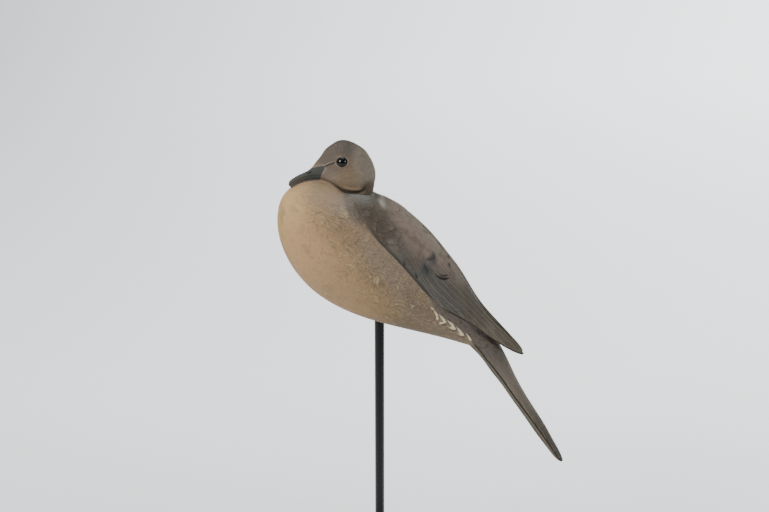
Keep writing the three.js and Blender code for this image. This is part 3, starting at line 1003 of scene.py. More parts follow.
# %% The paint box
paints = {
    "fawn": "#a38563", "pale fawn": "#cca674", "warm fawn": "#b7926a", "sand": "#b3945e",
    "rosy grey": "#98836c", "mouse rose": "#938476", "olive": "#85704f", "flank grey": "#7d7062",
    "umber": "#66584a", "drab": "#6a5f4e", "mouse": "#635f56", "rosy brown": "#928175",
    "sheen grey": "#928e7d", "sepia": "#544b41", "slate": "#5f5d59", "steel": "#464b4d",
    "shoulder grey": "#8d8b85", "highlight white": "#c5c2b6", "tip brown": "#676153",
    "plum brown": "#685f57", "tail grey": "#6f675e", "tail tip": "#44413d",
    "strip grey": "#5b564e", "cheek": "#766352", "cheek sand": "#81735b", "crown": "#59534d",
    "nape": "#8d8376", "nape brown": "#5b5245", "bill grey": "#474945", "bill tip": "#59534a",
    "cream": "#e8dab1", "ink": "#211e1a", "pale hair": "#bfab88", "grey hair": "#9c958a",
}
print(f"{len(paints)} paints are mixed")

# %% Washes
# Paint, x and z of the middle, half length and half width in mm, tilt, cover, softness
body_washes = [
    ("warm fawn", -48, 71, 27, 21, 80, 1.0, 0.8),
    ("pale fawn", -56, 85, 14, 12, 0, 0.9, 0.9),
    ("sand", -63, 62, 24, 6, 86, 0.6, 0.6),
    ("rosy grey", -33, 90, 13, 9, 20, 0.95, 0.7),
    ("mouse rose", -21, 85, 9, 8, 40, 0.9, 0.6),
    ("shoulder grey", -13, 88, 8, 6, 0, 0.9, 0.5),
    ("umber", -19, 72, 13, 7, 50, 0.55, 0.7),
    ("olive", -20, 62, 26, 8, 52, 0.3, 0.7),
    ("olive", -36, 76, 10, 7, 45, 0.35, 0.8),
    ("olive", -3, 31, 16, 7, 46, 0.4, 0.8),
    ("umber", 28, 21, 16, 5, 40, 0.5, 0.8),
    ("slate", -13.5, 85.5, 11, 6.5, 68, 0.95, 0.35),
    ("flank grey", -8, 64, 16, 4, 50, 0.4, 0.8),
    ("umber", -2.5, 42, 13, 5, 46, 0.42, 0.7),
    ("umber", -27, 75, 7, 5, 45, 0.32, 0.7),
    ("umber", 19.5, 31.5, 6, 4.5, 45, 0.36, 0.7),
    ("pale fawn", -7, 19, 9, 3, 25, 0.15, 0.8),
]
wing_washes = [
    ("rosy brown", 27, 66, 36, 11, 52, 1.0, 0.5),
    ("slate", 34, 31, 22, 10, 50, 0.9, 0.6),
    ("shoulder grey", -12, 89, 10, 6, 0, 1.0, 0.6),
    # The sepia just above the flank's edge, at the front of the wing, is dark brown paint and partly
    # painted shade under the flank feathers
    ("sepia", -10, 80, 8, 5, 40, 0.85, 0.6),
    ("sepia", 0, 72, 15, 8, 46, 0.92, 0.6),
    ("slate", 14, 55, 14, 5, 48, 0.45, 0.6),
    ("sepia", 20, 56, 13, 5, 50, 0.3, 0.8),
    # These three pale strips along the ridge of the back are a painted sheen, the grey rim that grazing
    # light lays on the outline
    ("sheen grey", 36, 54, 7, 3, 52, 0.35, 0.8),
    ("sheen grey", 50, 36, 8, 3, 56, 0.3, 0.8),
    ("sheen grey", 74, -3, 8, 3, 48, 0.25, 0.8),
    ("rosy brown", 9, 61, 5, 3, 46, 0.22, 0.8),
    # A painted highlight on the shoulder: a small pale streak within a fainter pale patch
    ("highlight white", 1.2, 84.4, 2.9, 0.9, 48, 0.8, 0.9),
    ("sheen grey", 3, 84, 6, 2.2, 30, 0.25, 0.9),
]
head_washes = [
    ("crown", -22, 121, 17, 8, 8, 1.0, 0.5),
    ("crown", -33, 112, 7, 6, 30, 0.8, 0.6),
    ("nape", -7, 107, 8, 15, -8, 0.95, 0.6),
    ("cheek sand", -21, 101, 9, 5, 10, 0.6, 0.7),
    ("nape brown", -6.6, 92.5, 4.6, 5, 0, 0.95, 0.5),
    ("nape", -31, 101, 5, 4, 0, 0.5, 0.8),
    ("crown", -30, 104, 9, 3, -28, 0.4, 0.7),
]
print(f"{len(body_washes + wing_washes + head_washes)} washes lie on body, wing and head")


# %% Lay the washes
def laid_over(ground, paint, cover):
    """A paint laid over the colours of all vertices by a cover from 0 to 1."""
    return ground + (np.array(linear(paints[paint])[:3]) - ground) * cover[:, None]


def washed(ground, washes):
    """Colours of all vertices after the washes, each an even S of its oval's reach.

    With u and v along and across the oval in half sizes, the reach is the root of u u + v v, and
    the cover falls from full at 1 - soft to none at 1 + soft.
    """
    for paint, x_mm, z_mm, half_long, half_wide, tilt, cover, soft in washes:
        c, s = math.cos(math.radians(tilt)), math.sin(math.radians(tilt))
        u = ((x - x_mm) * c - (z - z_mm) * s) / half_long
        v = ((x - x_mm) * s + (z - z_mm) * c) / half_wide
        ground = laid_over(ground, paint, cover * eased(-np.hypot(u, v), -1 - soft, -1 + soft))
    return ground


def plain(paint):
    """One paint on every vertex."""
    return np.tile(linear(paints[paint])[:3], (len(points), 1))


body_ground = laid_over(plain("fawn"), "drab", eased(along_mm, -30, 12))
body_ground = laid_over(body_ground, "flank grey", eased(wing_across, -26, -8) * eased(wing_along, 8, 40))
keep("body_ground", washed(body_ground, body_washes))
wing_ground = laid_over(plain("mouse"), "tip brown", eased(wing_along, 112, 140))
wing_ground = washed(wing_ground, wing_washes)
# A paler grey along the ridge of the back is a painted sheen, the grey rim of the outline in grazing light
ridge_sheen = eased(ridge_across, -5, 1) * eased(wing_along, 24, 40) * eased(-wing_along, -84, -60)
keep("wing_ground", laid_over(wing_ground, "sheen grey", 0.6 * ridge_sheen))
tail_ground = laid_over(plain("plum brown"), "tail grey", eased(covert_along, 62, 92))
keep("tail_ground", laid_over(tail_ground, "tail tip", eased(covert_along, 95, 150)))
keep("head_ground", washed(plain("cheek"), head_washes))
print("four grounds are kept as vertex colours, the wing's", wing_ground.mean(0).round(2), "on average")
body_colour, wing_colour, tail_colour, head_colour = (
    node("Attribute", {}, attribute_name=part + "_ground").node.outputs["Color"]
    for part in ("body", "wing", "tail", "head"))

# %% [markdown]
# ## Painted feathers
#
# On breast and flank the painter strokes rows of feather tips. Each tip is a fan of fine pale hairs
# that end on an arc, with painted shade just beyond it, where the tip lies over the next row. Every
# second row is shifted by half a feather, as roof tiles are. The pattern is worked out in
# millimetres of the feathers' own flow.

# %% Rows of feather tips
# No two tips are alike: a noise 17 mm wide pushes the rows about, mostly by less than 4 mm
drift_reach = 16.0
# How far a tip reaches into the row behind it, how near its hairs' common root lies before the
# row, and how far the noise steps on from tip to tip and from row to row, so that no two repeat
tip_reach, fan_root, tip_step, row_step = 0.65, 1.1, 7.3, 5.1
# In mm: how deep a row of feathers is and how wide a feather's tip, for large and small feathers
tip_rows, small_rows = (7.0, 8.6), (4.4, 5.4)
# Hairs are about 0.3 mm apart on the real paint, drawn here twice as coarse
real_hair, hair_coarser = 0.3, 2
drift = node("TexNoise", {"Vector": flow_at, "Scale": 0.06, "Detail": 2.0}).node.outputs["Color"]
drift = node("VectorMath", {0: drift, 1: (0.5, 0.5, 0.5)}, operation="SUBTRACT")
drift = node("VectorMath", {0: drift, "Scale": drift_reach}, operation="SCALE")
drifted = node("VectorMath", {0: hand_flow, 1: drift}, operation="ADD")


def feather_rows(length, width):
    """Rows of overlapping tips, each row length mm deep and each tip width mm wide.

    With s and c along and across the flow, the row number is the whole part of s / length. The
    tips of the row before reach into this one along the arc tip_reach (1 - 4 f f), where f is the
    place across the tip from -0.5 to 0.5. Returns how far a place is past the arc, below 0 on the
    tip itself, and a noise of hairs that fan out from the tip's root.
    """
    along, across, _ = node("SeparateXYZ", {0: drifted}).node.outputs
    row_place = node("Math", {0: along, 1: length}, operation="DIVIDE")
    row = node("Math", {0: row_place}, operation="FLOOR")
    down = node("Math", {0: row_place}, operation="FRACT")
    shift = node("Math", {0: node("Math", {0: row, 1: 1.0}, operation="PINGPONG"), 1: 0.5},
                 operation="MULTIPLY")
    tip_place = node("Math", {0: across, 1: 1 / width, 2: shift}, operation="MULTIPLY_ADD")
    f = node("Math", {0: node("Math", {0: tip_place}, operation="FRACT"), 1: 0.5},
             operation="SUBTRACT")
    arc = node("Math", {0: node("Math", {0: f, 1: f}, operation="MULTIPLY"), 1: -4 * tip_reach,
                        2: tip_reach},
               operation="MULTIPLY_ADD")
    past = node("Math", {0: down, 1: arc}, operation="SUBTRACT")
    fan = node("Math", {0: f, 1: node("Math", {0: down, 1: fan_root}, operation="ADD")},
               operation="DIVIDE")
    number = node("Math", {0: tip_place}, operation="FLOOR")
    root = node("CombineXYZ", {0: fan, 1: node("Math", {0: number, 1: tip_step}, operation="MULTIPLY"),
                               2: node("Math", {0: row, 1: row_step}, operation="MULTIPLY")})
    hair_root = node("Mapping", {"Vector": root, "Scale": (width / (real_hair * hair_coarser), 1, 1)})
    hairs = node("TexNoise", {"Vector": hair_root, "Scale": 1.0, "Detail": 2.0}).node.outputs["Fac"]
    return past, hairs


tips_past, tip_hairs = feather_rows(*tip_rows)
small_past, small_hairs = feather_rows(*small_rows)
print("depth of the rows and width of the tips in mm:", tip_rows, small_rows)

# %% Hairs, blotches and stipple
# Loose hairs run with the flow, 4 mm long and 0.7 mm apart
loose = node("Mapping", {"Vector": hand_flow, "Scale": (0.25, 1.4, 1)})
loose_hairs = node("TexNoise", {"Vector": loose, "Scale": 1.0, "Detail": 3.0}).node.outputs["Fac"]
# Blotches of thin and thick paint are some 10 mm wide, and the breaks of a dry brush some 3 mm
blotches = node("TexNoise", {"Vector": hand_flow, "Scale": 0.1, "Detail": 4.0}).node.outputs["Fac"]
broken = node("TexNoise", {"Vector": hand_flow, "Scale": 0.35, "Detail": 3.0}).node.outputs["Fac"]
# Stipple from the brush's tip, about 0.5 mm on the real paint and drawn twice as coarse
stipple = node("TexNoise", {"Vector": hand_flow, "Scale": 1.0, "Detail": 2.0}).node.outputs["Fac"]
print(f"the paint has {len(tree.nodes)} nodes before the first layer")

# %% [markdown]
# ## Dry brush, layer by layer
#
# A painter wipes the brush almost dry and drags it over the ground, so that the paint takes only
# here and there. The node way is the same: each layer is one paint and its covers, such as a noise
# between two levels, an area with soft ends, and a last number that says how thin the paint is.


# %% Feathers on breast and flank
def layered(ground, layers):
    """A ground with all layers brushed over it in turn, each a paint's name and its covers."""
    for paint, *covers in layers:
        ground = brushed(ground, paints[paint], *covers)
    return ground


on_flank = band(at["wing_across"], (-40, -20))
below_neck = band(place_z, (96, 80))
fringe = band(tips_past, (-0.6, -0.15), (-0.04, 0.02))
# Just past each feather's tip lies a band of painted shade, as if the tip lay over the row behind it
shade_past_tips = band(tips_past, (0.0, 0.06), (0.08, 0.4))
patchy = band(blotches, (0.4, 0.58))
body_colour = layered(body_colour, [
    ("olive", band(blotches, (0.5, 0.66)), 0.4),
    ("fawn", band(blotches, (0.54, 0.36)), on_flank, 0.16),
    ("rosy grey", band(broken, (0.5, 0.68)), 0.25),
    ("pale fawn", band(broken, (0.46, 0.32)), 0.12),
    ("umber", shade_past_tips, band(broken, (0.4, 0.6)), on_flank, below_neck, 0.5),
    ("pale hair", fringe, band(tip_hairs, (0.46, 0.66)), patchy, on_flank, below_neck, 0.5),
    ("pale hair", band(small_past, (-0.3, -0.08), (-0.05, 0.05)), band(small_hairs, (0.46, 0.66)),
     band(blotches, (0.54, 0.46)), 0.1),
    ("umber", band(loose_hairs, (0.54, 0.7)), on_flank, 0.16),
    ("umber", band(stipple, (0.5, 0.75)), 0.22),
    ("pale hair", band(stipple, (0.5, 0.3)), 0.2),
])
print(f"the paint has {len(tree.nodes)} nodes with the body's feathers on")

# %% Feathers on head, wing and tail
head_colour = layered(head_colour, [
    ("nape brown", band(loose_hairs, (0.5, 0.68)), 0.4),
    ("pale hair", band(stipple, (0.55, 0.75)), 0.22),
    ("umber", band(blotches, (0.5, 0.66)), 0.22),
])
wing_colour = layered(wing_colour, [
    ("sepia", band(blotches, (0.5, 0.64)), 0.4),
    ("ink", shade_past_tips, band(broken, (0.42, 0.6)), band(at["wing_along"], (60, 40)), 0.3),
    ("grey hair", fringe, band(tip_hairs, (0.46, 0.66)), band(at["wing_along"], (60, 40)), 0.22),
    ("ink", band(loose_hairs, (0.52, 0.7)), 0.24),
    ("grey hair", band(stipple, (0.55, 0.75)), 0.2),
])
tail_colour = layered(tail_colour, [
    ("ink", band(broken, (0.5, 0.66)), band(at["covert_along"], (100, 60)), 0.4),
    ("grey hair", band(stipple, (0.52, 0.72)), 0.22),
])
print(f"the paint has {len(tree.nodes)} nodes with those of head, wing and tail")

# %% [markdown]
# ## Long feathers in fine lines
#
# The long feathers of wing and tail lie side by side like the leaves of a closed fan, and the
# painter draws each as one long line that trembles a little. The lines are stripes of equal
# distance, counted in mm from the carved edge that they follow.

# %% Long flight feathers
# In mm: how far apart the lines are along the wing's edge, the back, the tail and on the flank
edge_apart, back_apart, tail_apart, swirl_apart = 1.8, 3.4, 1.7, 2.2
sway = node("SeparateXYZ", {0: wobble}).node.outputs["Y"]
from_middle = node("Math", {0: place_y}, operation="ABSOLUTE")


def fine_lines(across, apart, share=0.5):
    """Soft lines side by side, a given distance apart in mm, each as wide as a share of it."""
    swaying = node("Math", {0: sway, 1: 0.5, 2: across}, operation="MULTIPLY_ADD")
    place = node("Math", {0: node("Math", {0: swaying, 1: apart}, operation="DIVIDE")},
                 operation="FRACT")
    return band(place, (0, 0.4 * share), (0.6 * share, share))


def over_back(across):
    """A ruler across a wing that goes on counting over the flat of the back, to its middle."""
    return node("Math", {0: across, 1: from_middle}, operation="SUBTRACT")


# Grey feathers lie along the wing's lower edge, and brown ones with dark edges along the back
on_blades = band(at["wing_along"], (60, 80), (150, 162))
near_edge = band(at["wing_across"], (20, 13))
near_back = band(at["ridge_across"], (-13, -8), (-4, -2))
wing_colour = layered(wing_colour, [
    ("ink", fine_lines(over_back(at["wing_across"]), edge_apart), on_blades, near_edge, 0.3),
    ("grey hair", fine_lines(over_back(at["wing_across"]), 3 * edge_apart, 0.16), on_blades,
     near_edge, 0.35),
    ("sepia", fine_lines(over_back(at["ridge_across"]), back_apart, 0.4),
     band(at["wing_along"], (66, 84)), near_back, 0.5),
    ("pale hair", fine_lines(over_back(at["ridge_across"]), back_apart, 0.14),
     band(at["wing_along"], (72, 90)), near_back, 0.22),
])
# On the flank the hairs swirl: their ruler is the drifted one, so the lines bend round the tips
swirl_ruler = node("SeparateXYZ", {0: drifted}).node.outputs["Y"]
body_colour = layered(body_colour, [
    ("pale hair", fine_lines(swirl_ruler, swirl_apart), band(blotches, (0.42, 0.58)),
     band(loose_hairs, (0.38, 0.6)), band(at["wing_across"], (-75, -22)), 0.3),
])
tail_colour = layered(tail_colour, [
    ("pale hair", fine_lines(over_back(at["covert_across"]), tail_apart),
     band(at["covert_along"], (74, 96), (160, 185)), 0.2),
])
print(f"the paint has {len(tree.nodes)} nodes with the long feathers on")

# %% [markdown]
# ## Spots and strokes of the brush
#
# A dove has a few dark spots on the wing, and the painter sets each with one touch of the brush: a
# blue-black oval with a darker heart. Strokes begin thin, swell and end full, as the brush is
# pressed down and lifted. Ovals and strokes stand at fixed places of the side view.

# %% Brush strokes in the side view
# In half lengths from a stroke's middle: where it swells, and where the brush is lifted
stroke_swells, stroke_lifts = (-1.1, 0.5), (0.7, 1.1)


def stroke(start, end, half_wide, bow=0.0):
    """A brush stroke in the side view from a thin start to a full end, [x, z] in mm.

    With u along it in half lengths and v across it in half widths, its half width follows a band
    of u that rises by stroke_swells and falls by stroke_lifts, about the bow v = bow (1 - u u).
    """
    (x_mm, z_mm), (x_end, z_end) = start, end
    half_long = math.hypot(x_end - x_mm, z_end - z_mm) / 2
    tilt = math.degrees(math.atan2(z_mm - z_end, x_end - x_mm))
    u, v = side_view((x_mm + x_end) / 2, (z_mm + z_end) / 2, half_long, half_wide, tilt)
    if bow:
        bent = node("Math", {0: node("Math", {0: u, 1: u}, operation="MULTIPLY"), 1: bow, 2: -bow},
                    operation="MULTIPLY_ADD")
        v = node("Math", {0: v, 1: bent}, operation="ADD")
    inside = node("Math", {0: band(u, stroke_swells, stroke_lifts),
                           1: node("Math", {0: v}, operation="ABSOLUTE")}, operation="SUBTRACT")
    return band(inside, (-0.1, 0.25))


print("a stroke is full from", stroke_swells[1], "to", stroke_lifts[0], "half lengths past its middle")

# %% Dark spots on the wing
# x and z of the middle, half length and half width in mm, tilt, cover, softness
wing_spots = [
    (33.6, 49.9, 3.0, 2.0, 62, 0.55, 0.75),
    (31.4, 50.4, 2.6, 0.9, 12, 0.6, 0.7),
    (28.8, 45.0, 3.8, 2.9, 50, 0.62, 0.75),
    (28.2, 47.4, 1.8, 0.9, 80, 0.5, 0.6),
    (44.2, 43.1, 1.3, 0.8, 60, 0.6, 0.5),
]
for x_mm, z_mm, half_long, half_wide, tilt, cover, soft in wing_spots:
    spot = patch(x_mm, z_mm, half_long, half_wide, tilt, soft)
    heart = patch(x_mm, z_mm, 0.6 * half_long, 0.5 * half_wide, tilt, 0.8)
    wing_colour = layered(wing_colour, [("steel", spot, cover), ("ink", heart, 0.3)])

# Start, end, half width, bow and cover of dark strokes: two crescents and some short straight ones
wing_strokes = [
    ([33.4, 44.4], [43.8, 36.6], 0.75, -2.4, 0.85),
    ([36.6, 42.0], [43.2, 38.6], 0.5, -2.0, 0.7),
    ([14.8, 54.0], [15.9, 49.4], 0.6, 0.0, 0.6),
    ([21.8, 46.2], [23.6, 41.2], 0.7, 0.0, 0.6),
    ([44.6, 40.6], [44.3, 37.2], 0.45, 0.0, 0.4),
    ([32.6, 54.6], [34.6, 49.4], 0.4, 0.0, 0.6),
    ([27.8, 48.6], [30.4, 44.0], 0.4, 0.0, 0.55),
]
for start, end, half_wide, bow, cover in wing_strokes:
    wing_colour = layered(wing_colour, [("ink", stroke(start, end, half_wide, bow), cover)])
print(f"{len(wing_spots)} spots and {len(wing_strokes)} strokes stand on the wing")

# %% [markdown]
# ## One paint from four
#
# So far body, wing, tail and head have a colour each. They are joined by masks that follow the
# carved edges: at the shoulder breast and wing run into each other, and further back the edge is
# crisp, with a pale rim on the flank feathers, partly their pale edge and partly a painted highlight,
# and a dark line of painted shade on the wing below them.

# %% Join body and wing
# In mm: how far the blend reaches at the shoulder, and how wide the crisp edge is
shoulder_reach, crisp_width = 4.5, 0.35
shoulder_blend = node("MapRange", {"Value": at["wing_along"], "From Min": float(shoulder_ends),
                                   "From Max": float(crisp_begins), "To Min": shoulder_reach,
                                   "To Max": 0.0}, interpolation_type="SMOOTHSTEP")
above_edge = node("Math", {0: at["wing_across"], 1: shoulder_blend}, operation="ADD")
far_edge = node("Math", {0: crisp_width, 1: node("Math", {0: shoulder_blend, 1: 2.0},
                                                 operation="MULTIPLY")}, operation="ADD")
wing_mask = node("MapRange", {"Value": above_edge, "From Min": -0.1, "From Max": far_edge},
                 interpolation_type="SMOOTHSTEP")
crisp = band(at["wing_along"], (22, 44))
# A pale stroke on the flank's rim, partly the feathers' pale edge and partly a painted highlight, and below
# the edge on the wing a line of painted shade
flank_rim_highlight = band(at["wing_across"], (-1.1, -0.4), (-0.3, 0.1))
shade = band(at["wing_across"], (0.0, 0.4), (0.4, 2.4))
colour = layered(brushed(body_colour, wing_colour, wing_mask), [
    ("pale hair", flank_rim_highlight, crisp, band(at["wing_along"], (82, 70)), 0.14),
    ("ink", shade, crisp, band(at["wing_along"], (92, 76)), 0.4),
])
print(f"the edge softens from {crisp_width} to {crisp_width + 2 * shoulder_reach} mm at the shoulder")

# %% Join the tail
# The tail coverts begin softly behind the white marks, where their edge is 2.6 mm wide, and are
# crisp from 44 mm along the line on
marks_end, coverts_crisp, soft_width, sharp_width = 20.0, 44.0, 2.6, 0.4
covert_soft = node("MapRange", {"Value": at["covert_along"], "From Min": marks_end,
                                "From Max": coverts_crisp, "To Min": soft_width,
                                "To Max": sharp_width}, interpolation_type="SMOOTHSTEP")
covert_mask = node("MapRange", {"Value": at["covert_across"], "From Min": -0.2,
                                "From Max": covert_soft}, interpolation_type="SMOOTHSTEP")
covert_mask = all_of(covert_mask, band(at["wing_across"], (0.15, -0.2)),
                     band(at["covert_along"], (-1.5, 6)))
colour = brushed(colour, tail_colour, covert_mask)
# Below the groove the side of the tail is one strip of grey with a pale line
slab_mask = all_of(band(at["covert_across"], (0.2, -0.15)), band(at["covert_along"], (52, 57)))
strip_colour = layered(paints["strip grey"], [
    ("pale hair", band(at["covert_across"], (-2.1, -1.6), (-1.3, -0.8)), 0.22),
    ("ink", band(loose_hairs, (0.5, 0.7)), 0.25),
])
colour = brushed(colour, strip_colour, slab_mask)
# Painted shade stands in the groove, and further up a thin line of painted shadow lies under the wing's
# lower edge
groove_shade = band(at["covert_across"], (-0.8, -0.3), (0.1, 0.6))
shadow_under_wing = band(at["wing_across"], (-1.6, -0.7), (-0.2, 0.2))
colour = layered(colour, [
    ("ink", groove_shade, band(at["covert_along"], (50, 58)), 0.85),
    ("ink", shadow_under_wing, band(at["wing_along"], (88, 104)), 0.75),
])
print(f"the paint has {len(tree.nodes)} nodes with body, wing and tail in one")

# %% [markdown]
# ## White marks
#
# Each cream mark at the end of the flank is the edge of one feather's tip: a tail that runs down to
# it from the left, and a foot that curves back under it. The painter first sets a touch of painted
# shadow under every foot, which lifts the light edge off the ground.

# %% White marks
mark_strokes = [
    ([31.8, 22.4], [33.6, 20.4], 0.5), ([33.2, 21.2], [36.6, 15.2], 0.7),
    ([35.8, 17.4], [36.7, 12.6], 0.85), ([37.0, 17.2], [41.4, 11.2], 0.85),
    ([41.9, 10.0], [37.6, 10.2], 0.9), ([40.2, 12.4], [41.4, 9.8], 1.2),
    ([42.0, 12.6], [46.9, 6.6], 0.85), ([42.6, 7.0], [48.4, 4.0], 0.95),
    ([45.2, 8.4], [46.9, 4.9], 1.2), ([48.2, 6.8], [53.0, -0.8], 0.9),
    ([49.0, 0.8], [54.0, -1.8], 0.85), ([51.2, 2.0], [53.2, -1.4], 1.1),
    ([54.5, 0.6], [59.0, -6.8], 0.7),
]
# Sepia strokes of painted shadow under the foot of each mark
foot_shadows = [([37.4, 8.9], [42.6, 8.6], 0.9), ([42.6, 5.4], [49.2, 2.2], 1.0),
        ([48.6, -0.9], [54.8, -3.4], 0.9)]
for paint, strokes, cover in (("sepia", foot_shadows, 0.6), ("cream", mark_strokes, 0.85)):
    for start, end, half_wide in strokes:
        colour = layered(colour, [(paint, stroke(start, end, half_wide), cover)])
print(f"{len(mark_strokes)} cream strokes over {len(foot_shadows)} touches of shade")

# %% [markdown]
# ## Bill and eye
#
# The bill is dull grey with a browner tip, and its mouth is one dark line. A dark line with a pale
# edge runs from the bill to the eye, and a pale ring stands round the dark rim of the eye. The face
# gets its look from these few lines, so each stands on a ruler of its own and not on a noise.

# %% Bill, line to the eye and rim of the eye
# A patch says x and z of its middle, half length and half width in mm, tilt in degrees, softness
on_bill = band(at["bill_across"], (0.3, -0.3))
bill_rim = band(at["bill_across"], (-0.1, 0.3), (0.6, 1.4))
tip_patch = patch(-54, 93, 7, 4, -30, 0.8)
mouth = band(at["mandible_across"], (-0.4, -0.1), (0.1, 0.4))
nostril = patch(-43.1, 101.1, 1.5, 0.45, -28, 0.5)
dark_line = band(at["lore_across"], (-0.55, -0.15), (0.15, 0.55))
pale_line = band(at["lore_across"], (0.3, 0.7), (0.9, 1.6))
pale_ring = band(at["eye_ring"], (3.5, 3.9), (4.2, 4.7))
head_colour = layered(head_colour, [("grey hair", bill_rim, band(place_z, (99, 102)), 0.3)])
bill_colour = layered(paints["bill grey"], [("bill tip", tip_patch, 0.8)])
head_colour = layered(brushed(head_colour, bill_colour, on_bill), [
    ("ink", mouth, on_bill, 0.55),
    ("ink", nostril, 0.8),
    ("grey hair", pale_line, band(at["lore_along"], (2, 4), (8, 11)), 0.25),
    ("ink", dark_line, band(at["lore_along"], (2, 4), (11.2, 12.4)), 0.8),
    ("grey hair", pale_ring, band(broken, (0.42, 0.6)), 0.45),
    ("ink", band(at["eye_ring"], (3.45, 3.2)), 0.85),
])
# A pale stroke above the crease is a painted highlight on the cheek's lower edge
cheek_highlight = all_of(band(at["crease_across"], (1.2, 2.0), (2.4, 4.0)),
                    band(at["crease_along"], (14, 22), (crease_run - 9, crease_run - 3)))
head_colour = layered(head_colour, [("pale hair", cheek_highlight, 0.3)])
colour = brushed(colour, head_colour, at["head"])
print(f"the paint has {len(tree.nodes)} nodes with the head on")

# %% [markdown]
# ## Painted shade in the creases
#
# The last coat is painted shade: dark paint laid into every carved crease and kept off the high
# places, where light falls. It makes shallow carving readable from across a room.

# %% Painted shade in the creases
# The painted shade in the crease is thin under the bill, widest under the cheek, and fades where it curls
# up behind
shade_under_bill = band(at["crease_across"], (-0.9, -0.3), (0.1, 0.6))
shade_under_cheek = band(at["crease_across"], (-0.9, -0.1), (0.4, 1.1))
shade_at_nape = band(at["head"], (0.02, 0.3), (0.6, 0.98))
colour = layered(colour, [
    ("ink", shade_under_bill, band(at["crease_along"], (0, 3), (14, 24)), 0.45),
    ("ink", shade_under_cheek, band(at["crease_along"], (6, 30), (crease_run - 6, crease_run - 1)), 0.8),
    ("ink", shade_at_nape, band(at["crease_along"], (26, 31)), 0.7),
    # Painted shade in every hollow of the carving
    ("ink", band(at["hollow"], (0.06, 0.25)), 0.8),
])
print(f"the dark line in the crease fades out {crease_run - 1:.0f} mm along it")

# %% Brush strokes in the paint
# Ridges left by the brush are about 0.05 mm high
relief = node("Bump", {"Height": loose_hairs, "Strength": 0.15, "Distance": 0.1 * mm})
tree.links.new(relief, feather_shader.inputs["Normal"])
tree.links.new(colour, feather_shader.inputs["Base Color"])
wood.materials.append(feather_paint)
print(f"the feather paint has {len(tree.nodes)} nodes")

# %% [markdown]
# ## Glass and satin black
#
# The eye is polished glass with the colour fired behind it, so it is almost black with a deep brown
# ring, and it mirrors the softboxes as two sparks. The bar and the plate are sprayed satin black: the
# thin coat is a little more dull in some places, and spreads a lamp's reflection into a soft stripe.

# %% Eye glass
eye_finish, eye_shader = new_finish("black_glass_eye", 0.04, 0.42)
tree = eye_finish.node_tree
from_axis_at = node("Attribute", {}, attribute_name="from_axis").node.outputs["Fac"]
pupil_black, deep_brown = "#030303", "#0f0a07"
iris = brushed(pupil_black, deep_brown, band(from_axis_at, (2.1, 2.5), (2.9, 3.2)))
tree.links.new(iris, eye_shader.inputs["Base Color"])
for eye in eyes.values():
    eye.data.materials.append(eye_finish)
print(f"each eye's finish has {len(tree.nodes)} nodes")

# %% Satin black
steel_finish, steel_shader = new_finish("satin_black_spray", 0.3, 0.3)
steel_shader.inputs["Base Color"].default_value = linear("#0e0e0f")
tree = steel_finish.node_tree
place = node("TexCoord", {}).node.outputs["Object"]
# The spray lies in patches some 3 mm wide that are a little more or less dull
spray_patch, least_dull, most_dull = 3 * mm, 0.24, 0.32
spray = node("TexNoise", {"Vector": place, "Scale": 1 / spray_patch, "Detail": 2.0}).node.outputs["Fac"]
tree.links.new(node("MapRange", {"Value": spray, "To Min": least_dull, "To Max": most_dull}),
               steel_shader.inputs["Roughness"])
for steel in (rod, base):
    steel.data.materials.append(steel_finish)
print(f"the black is between {least_dull} and {most_dull} rough")

# %% [markdown]
# ## Camera and studio
#
# The photograph looks down on the bird by 20 degrees through a normal lens. The light is soft: a
# softbox on each side, whose reflections are the two sparks in the eye, a broad one overhead, and
# a pale floor that glows a little by itself further out, as a lit paper backdrop does.

# %% Camera
focal_length, sensor_width = 50, 36
camera_place, looking_down = (3.3 * mm, -642 * mm, 486.9 * mm), 20
camera_data = bpy.data.cameras.new("camera")
camera_data.lens = focal_length
camera_data.sensor_width = sensor_width
camera = bpy.data.objects.new("camera", camera_data)
camera.location = camera_place
camera.rotation_euler = (math.radians(90 - looking_down), 0, 0)
bpy.context.scene.collection.objects.link(camera)
bpy.context.scene.camera = camera
print(f"the camera is {camera.location.length / mm:.0f} mm from the foot of the rod")

# %% Softboxes
light_aim = Vector((0, 0, belly_height + 60 * mm))


def softbox(name, azimuth, elevation, distance, width, height, watts):
    """A rectangular lamp on a sphere round the bird, turned to face it. Azimuth 0 is in front."""
    turn, rise = math.radians(azimuth), math.radians(elevation)
    lamp = bpy.data.lights.new(name, "AREA")
    lamp.shape = "RECTANGLE"
    lamp.size, lamp.size_y, lamp.energy = width, height, watts
    stand = bpy.data.objects.new(name, lamp)
    away = Vector((math.sin(turn) * math.cos(rise), -math.cos(turn) * math.cos(rise), math.sin(rise)))
    stand.location = light_aim + distance * away
    stand.rotation_euler = away.to_track_quat("Z", "Y").to_euler()
    bpy.context.scene.collection.objects.link(stand)


# Name, azimuth and elevation in degrees, distance, width and height in metres, watts
softboxes = [
    ("softbox_left", -56, 30, 1.3, 0.5, 0.6, 15),
    ("softbox_right", 68, 20, 1.3, 0.3, 0.45, 5),
    ("softbox_top", 180, 72, 1.6, 1.4, 1.4, 9.5),
]
for settings in softboxes:
    softbox(*settings)
print(f"{len(softboxes)} softboxes give {sum(row[-1] for row in softboxes)} W")

# %% The room
world = bpy.data.worlds.new("studio")
bpy.context.scene.world = world
world.use_nodes = True
surroundings = world.node_tree.nodes["Background"]
room_colour, room_strength = (0.96, 0.98, 1, 1), 0.25
surroundings.inputs["Color"].default_value = room_colour
surroundings.inputs["Strength"].default_value = room_strength
print(f"the room's light has a strength of {room_strength}")

# %% Floor
floor_radius, floor_thick = 7.0, 10 * mm


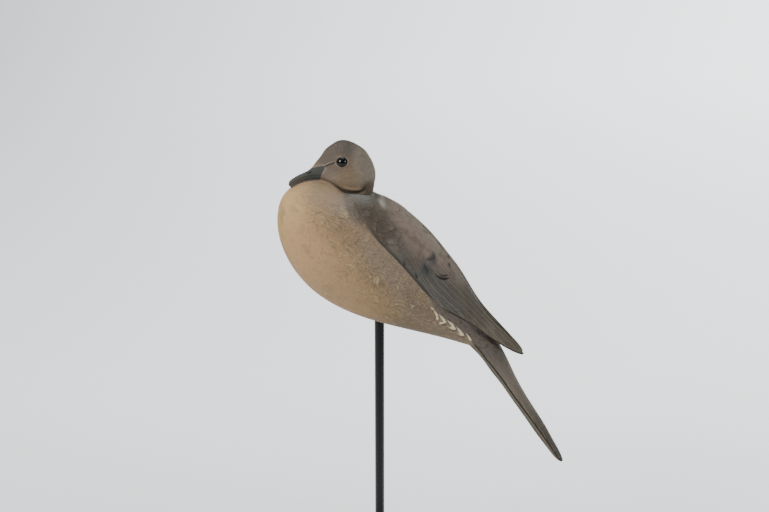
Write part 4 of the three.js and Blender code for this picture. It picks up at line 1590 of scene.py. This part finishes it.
def floor_point(t, a):
    """A flat disc: the radius grows as t squared to the rim at t = 0.5, then returns underneath."""
    radius = floor_radius * (1 - np.abs(1 - 2 * t)) ** 2
    depth = np.where(t > 0.5, floor_thick, 0)
    return np.stack([radius * np.cos(a), radius * np.sin(a), -depth], -1)


floor = piece_of("floor", mesh_of("floor", closed_skin(floor_point, 16, 96)))
floor.data.shade_flat()
print(f"the floor has {len(floor.data.polygons)} faces")

# %% Paper
# White paper glows by itself where the studio's own lamps would light it: more to the right, and
# more further back. The roll is only so wide, and beyond it the room stays dim. Sideways is metres
# to the right for every metre from the place on the floor, 0.9 m in front of the rod, where lines
# that stand upright in the picture would meet
glow_near, glow_right_near, glow_back, glow_right_back = 1.12, 0.7, 0.68, 1.9
paper_ends, paper_fade, uprights_meet = 0.46, 0.08, 0.9
# Metres behind the bird between which the glow begins, and between which it changes to the far one
glow_begins, far_begins = (-0.42, 0.36), (-0.1, 2.2)
paper, paper_shader = new_finish("matt_white_paper", 0.9, 0.1)
tree = paper.node_tree
paper_white, glow_colour = (0.8, 0.81, 0.83, 1), (0.96, 0.985, 1.03, 1)
paper_shader.inputs["Base Color"].default_value = paper_white
paper_shader.inputs["Emission Color"].default_value = glow_colour
floor_x, floor_y, _ = node("SeparateXYZ", {0: node("TexCoord", {}).node.outputs["Object"]}).node.outputs
sideways = node("Math", {0: floor_x, 1: node("Math", {0: floor_y, 1: uprights_meet}, operation="ADD")},
                operation="DIVIDE")
backwards = band(floor_y, far_begins)
rise = node("Math", {0: sideways, 1: glow_right_back, 2: glow_back}, operation="MULTIPLY_ADD")
glow = node("Math", {0: sideways, 1: glow_right_near, 2: glow_near}, operation="MULTIPLY_ADD")
glow = node("Math", {0: rise, 1: backwards, 2: glow}, operation="MULTIPLY_ADD")
on_roll = band(sideways, (-paper_ends - paper_fade, -paper_ends), (paper_ends, paper_ends + paper_fade))
tree.links.new(all_of(glow, band(floor_y, glow_begins), on_roll),
               paper_shader.inputs["Emission Strength"])
floor.data.materials.append(paper)
print(f"the paper ends {paper_ends} m aside for every metre from where upright lines meet")

# %% [markdown]
# ## Hand the pieces over
#
# Every piece says which body of the frame carries it, which solid of the CAD part it takes the
# place of, and which slot of paint it has. Nothing on this object moves, so one body carries all.

# %% Pieces, bodies and slots
dressed = [
    (dove, "carved_dove", "painted_wood"),
    (eyes["left_eye"], "left_eye", "eye_glass"),
    (eyes["right_eye"], "right_eye", "eye_glass"),
    (rod, "rod", "rod_paint"),
    (base, "base_plate", "base_paint"),
]
for piece, solid, slot in dressed:
    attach(piece, "root")
    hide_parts(solid)
print(f"{len(dressed)} pieces ride on the root body")
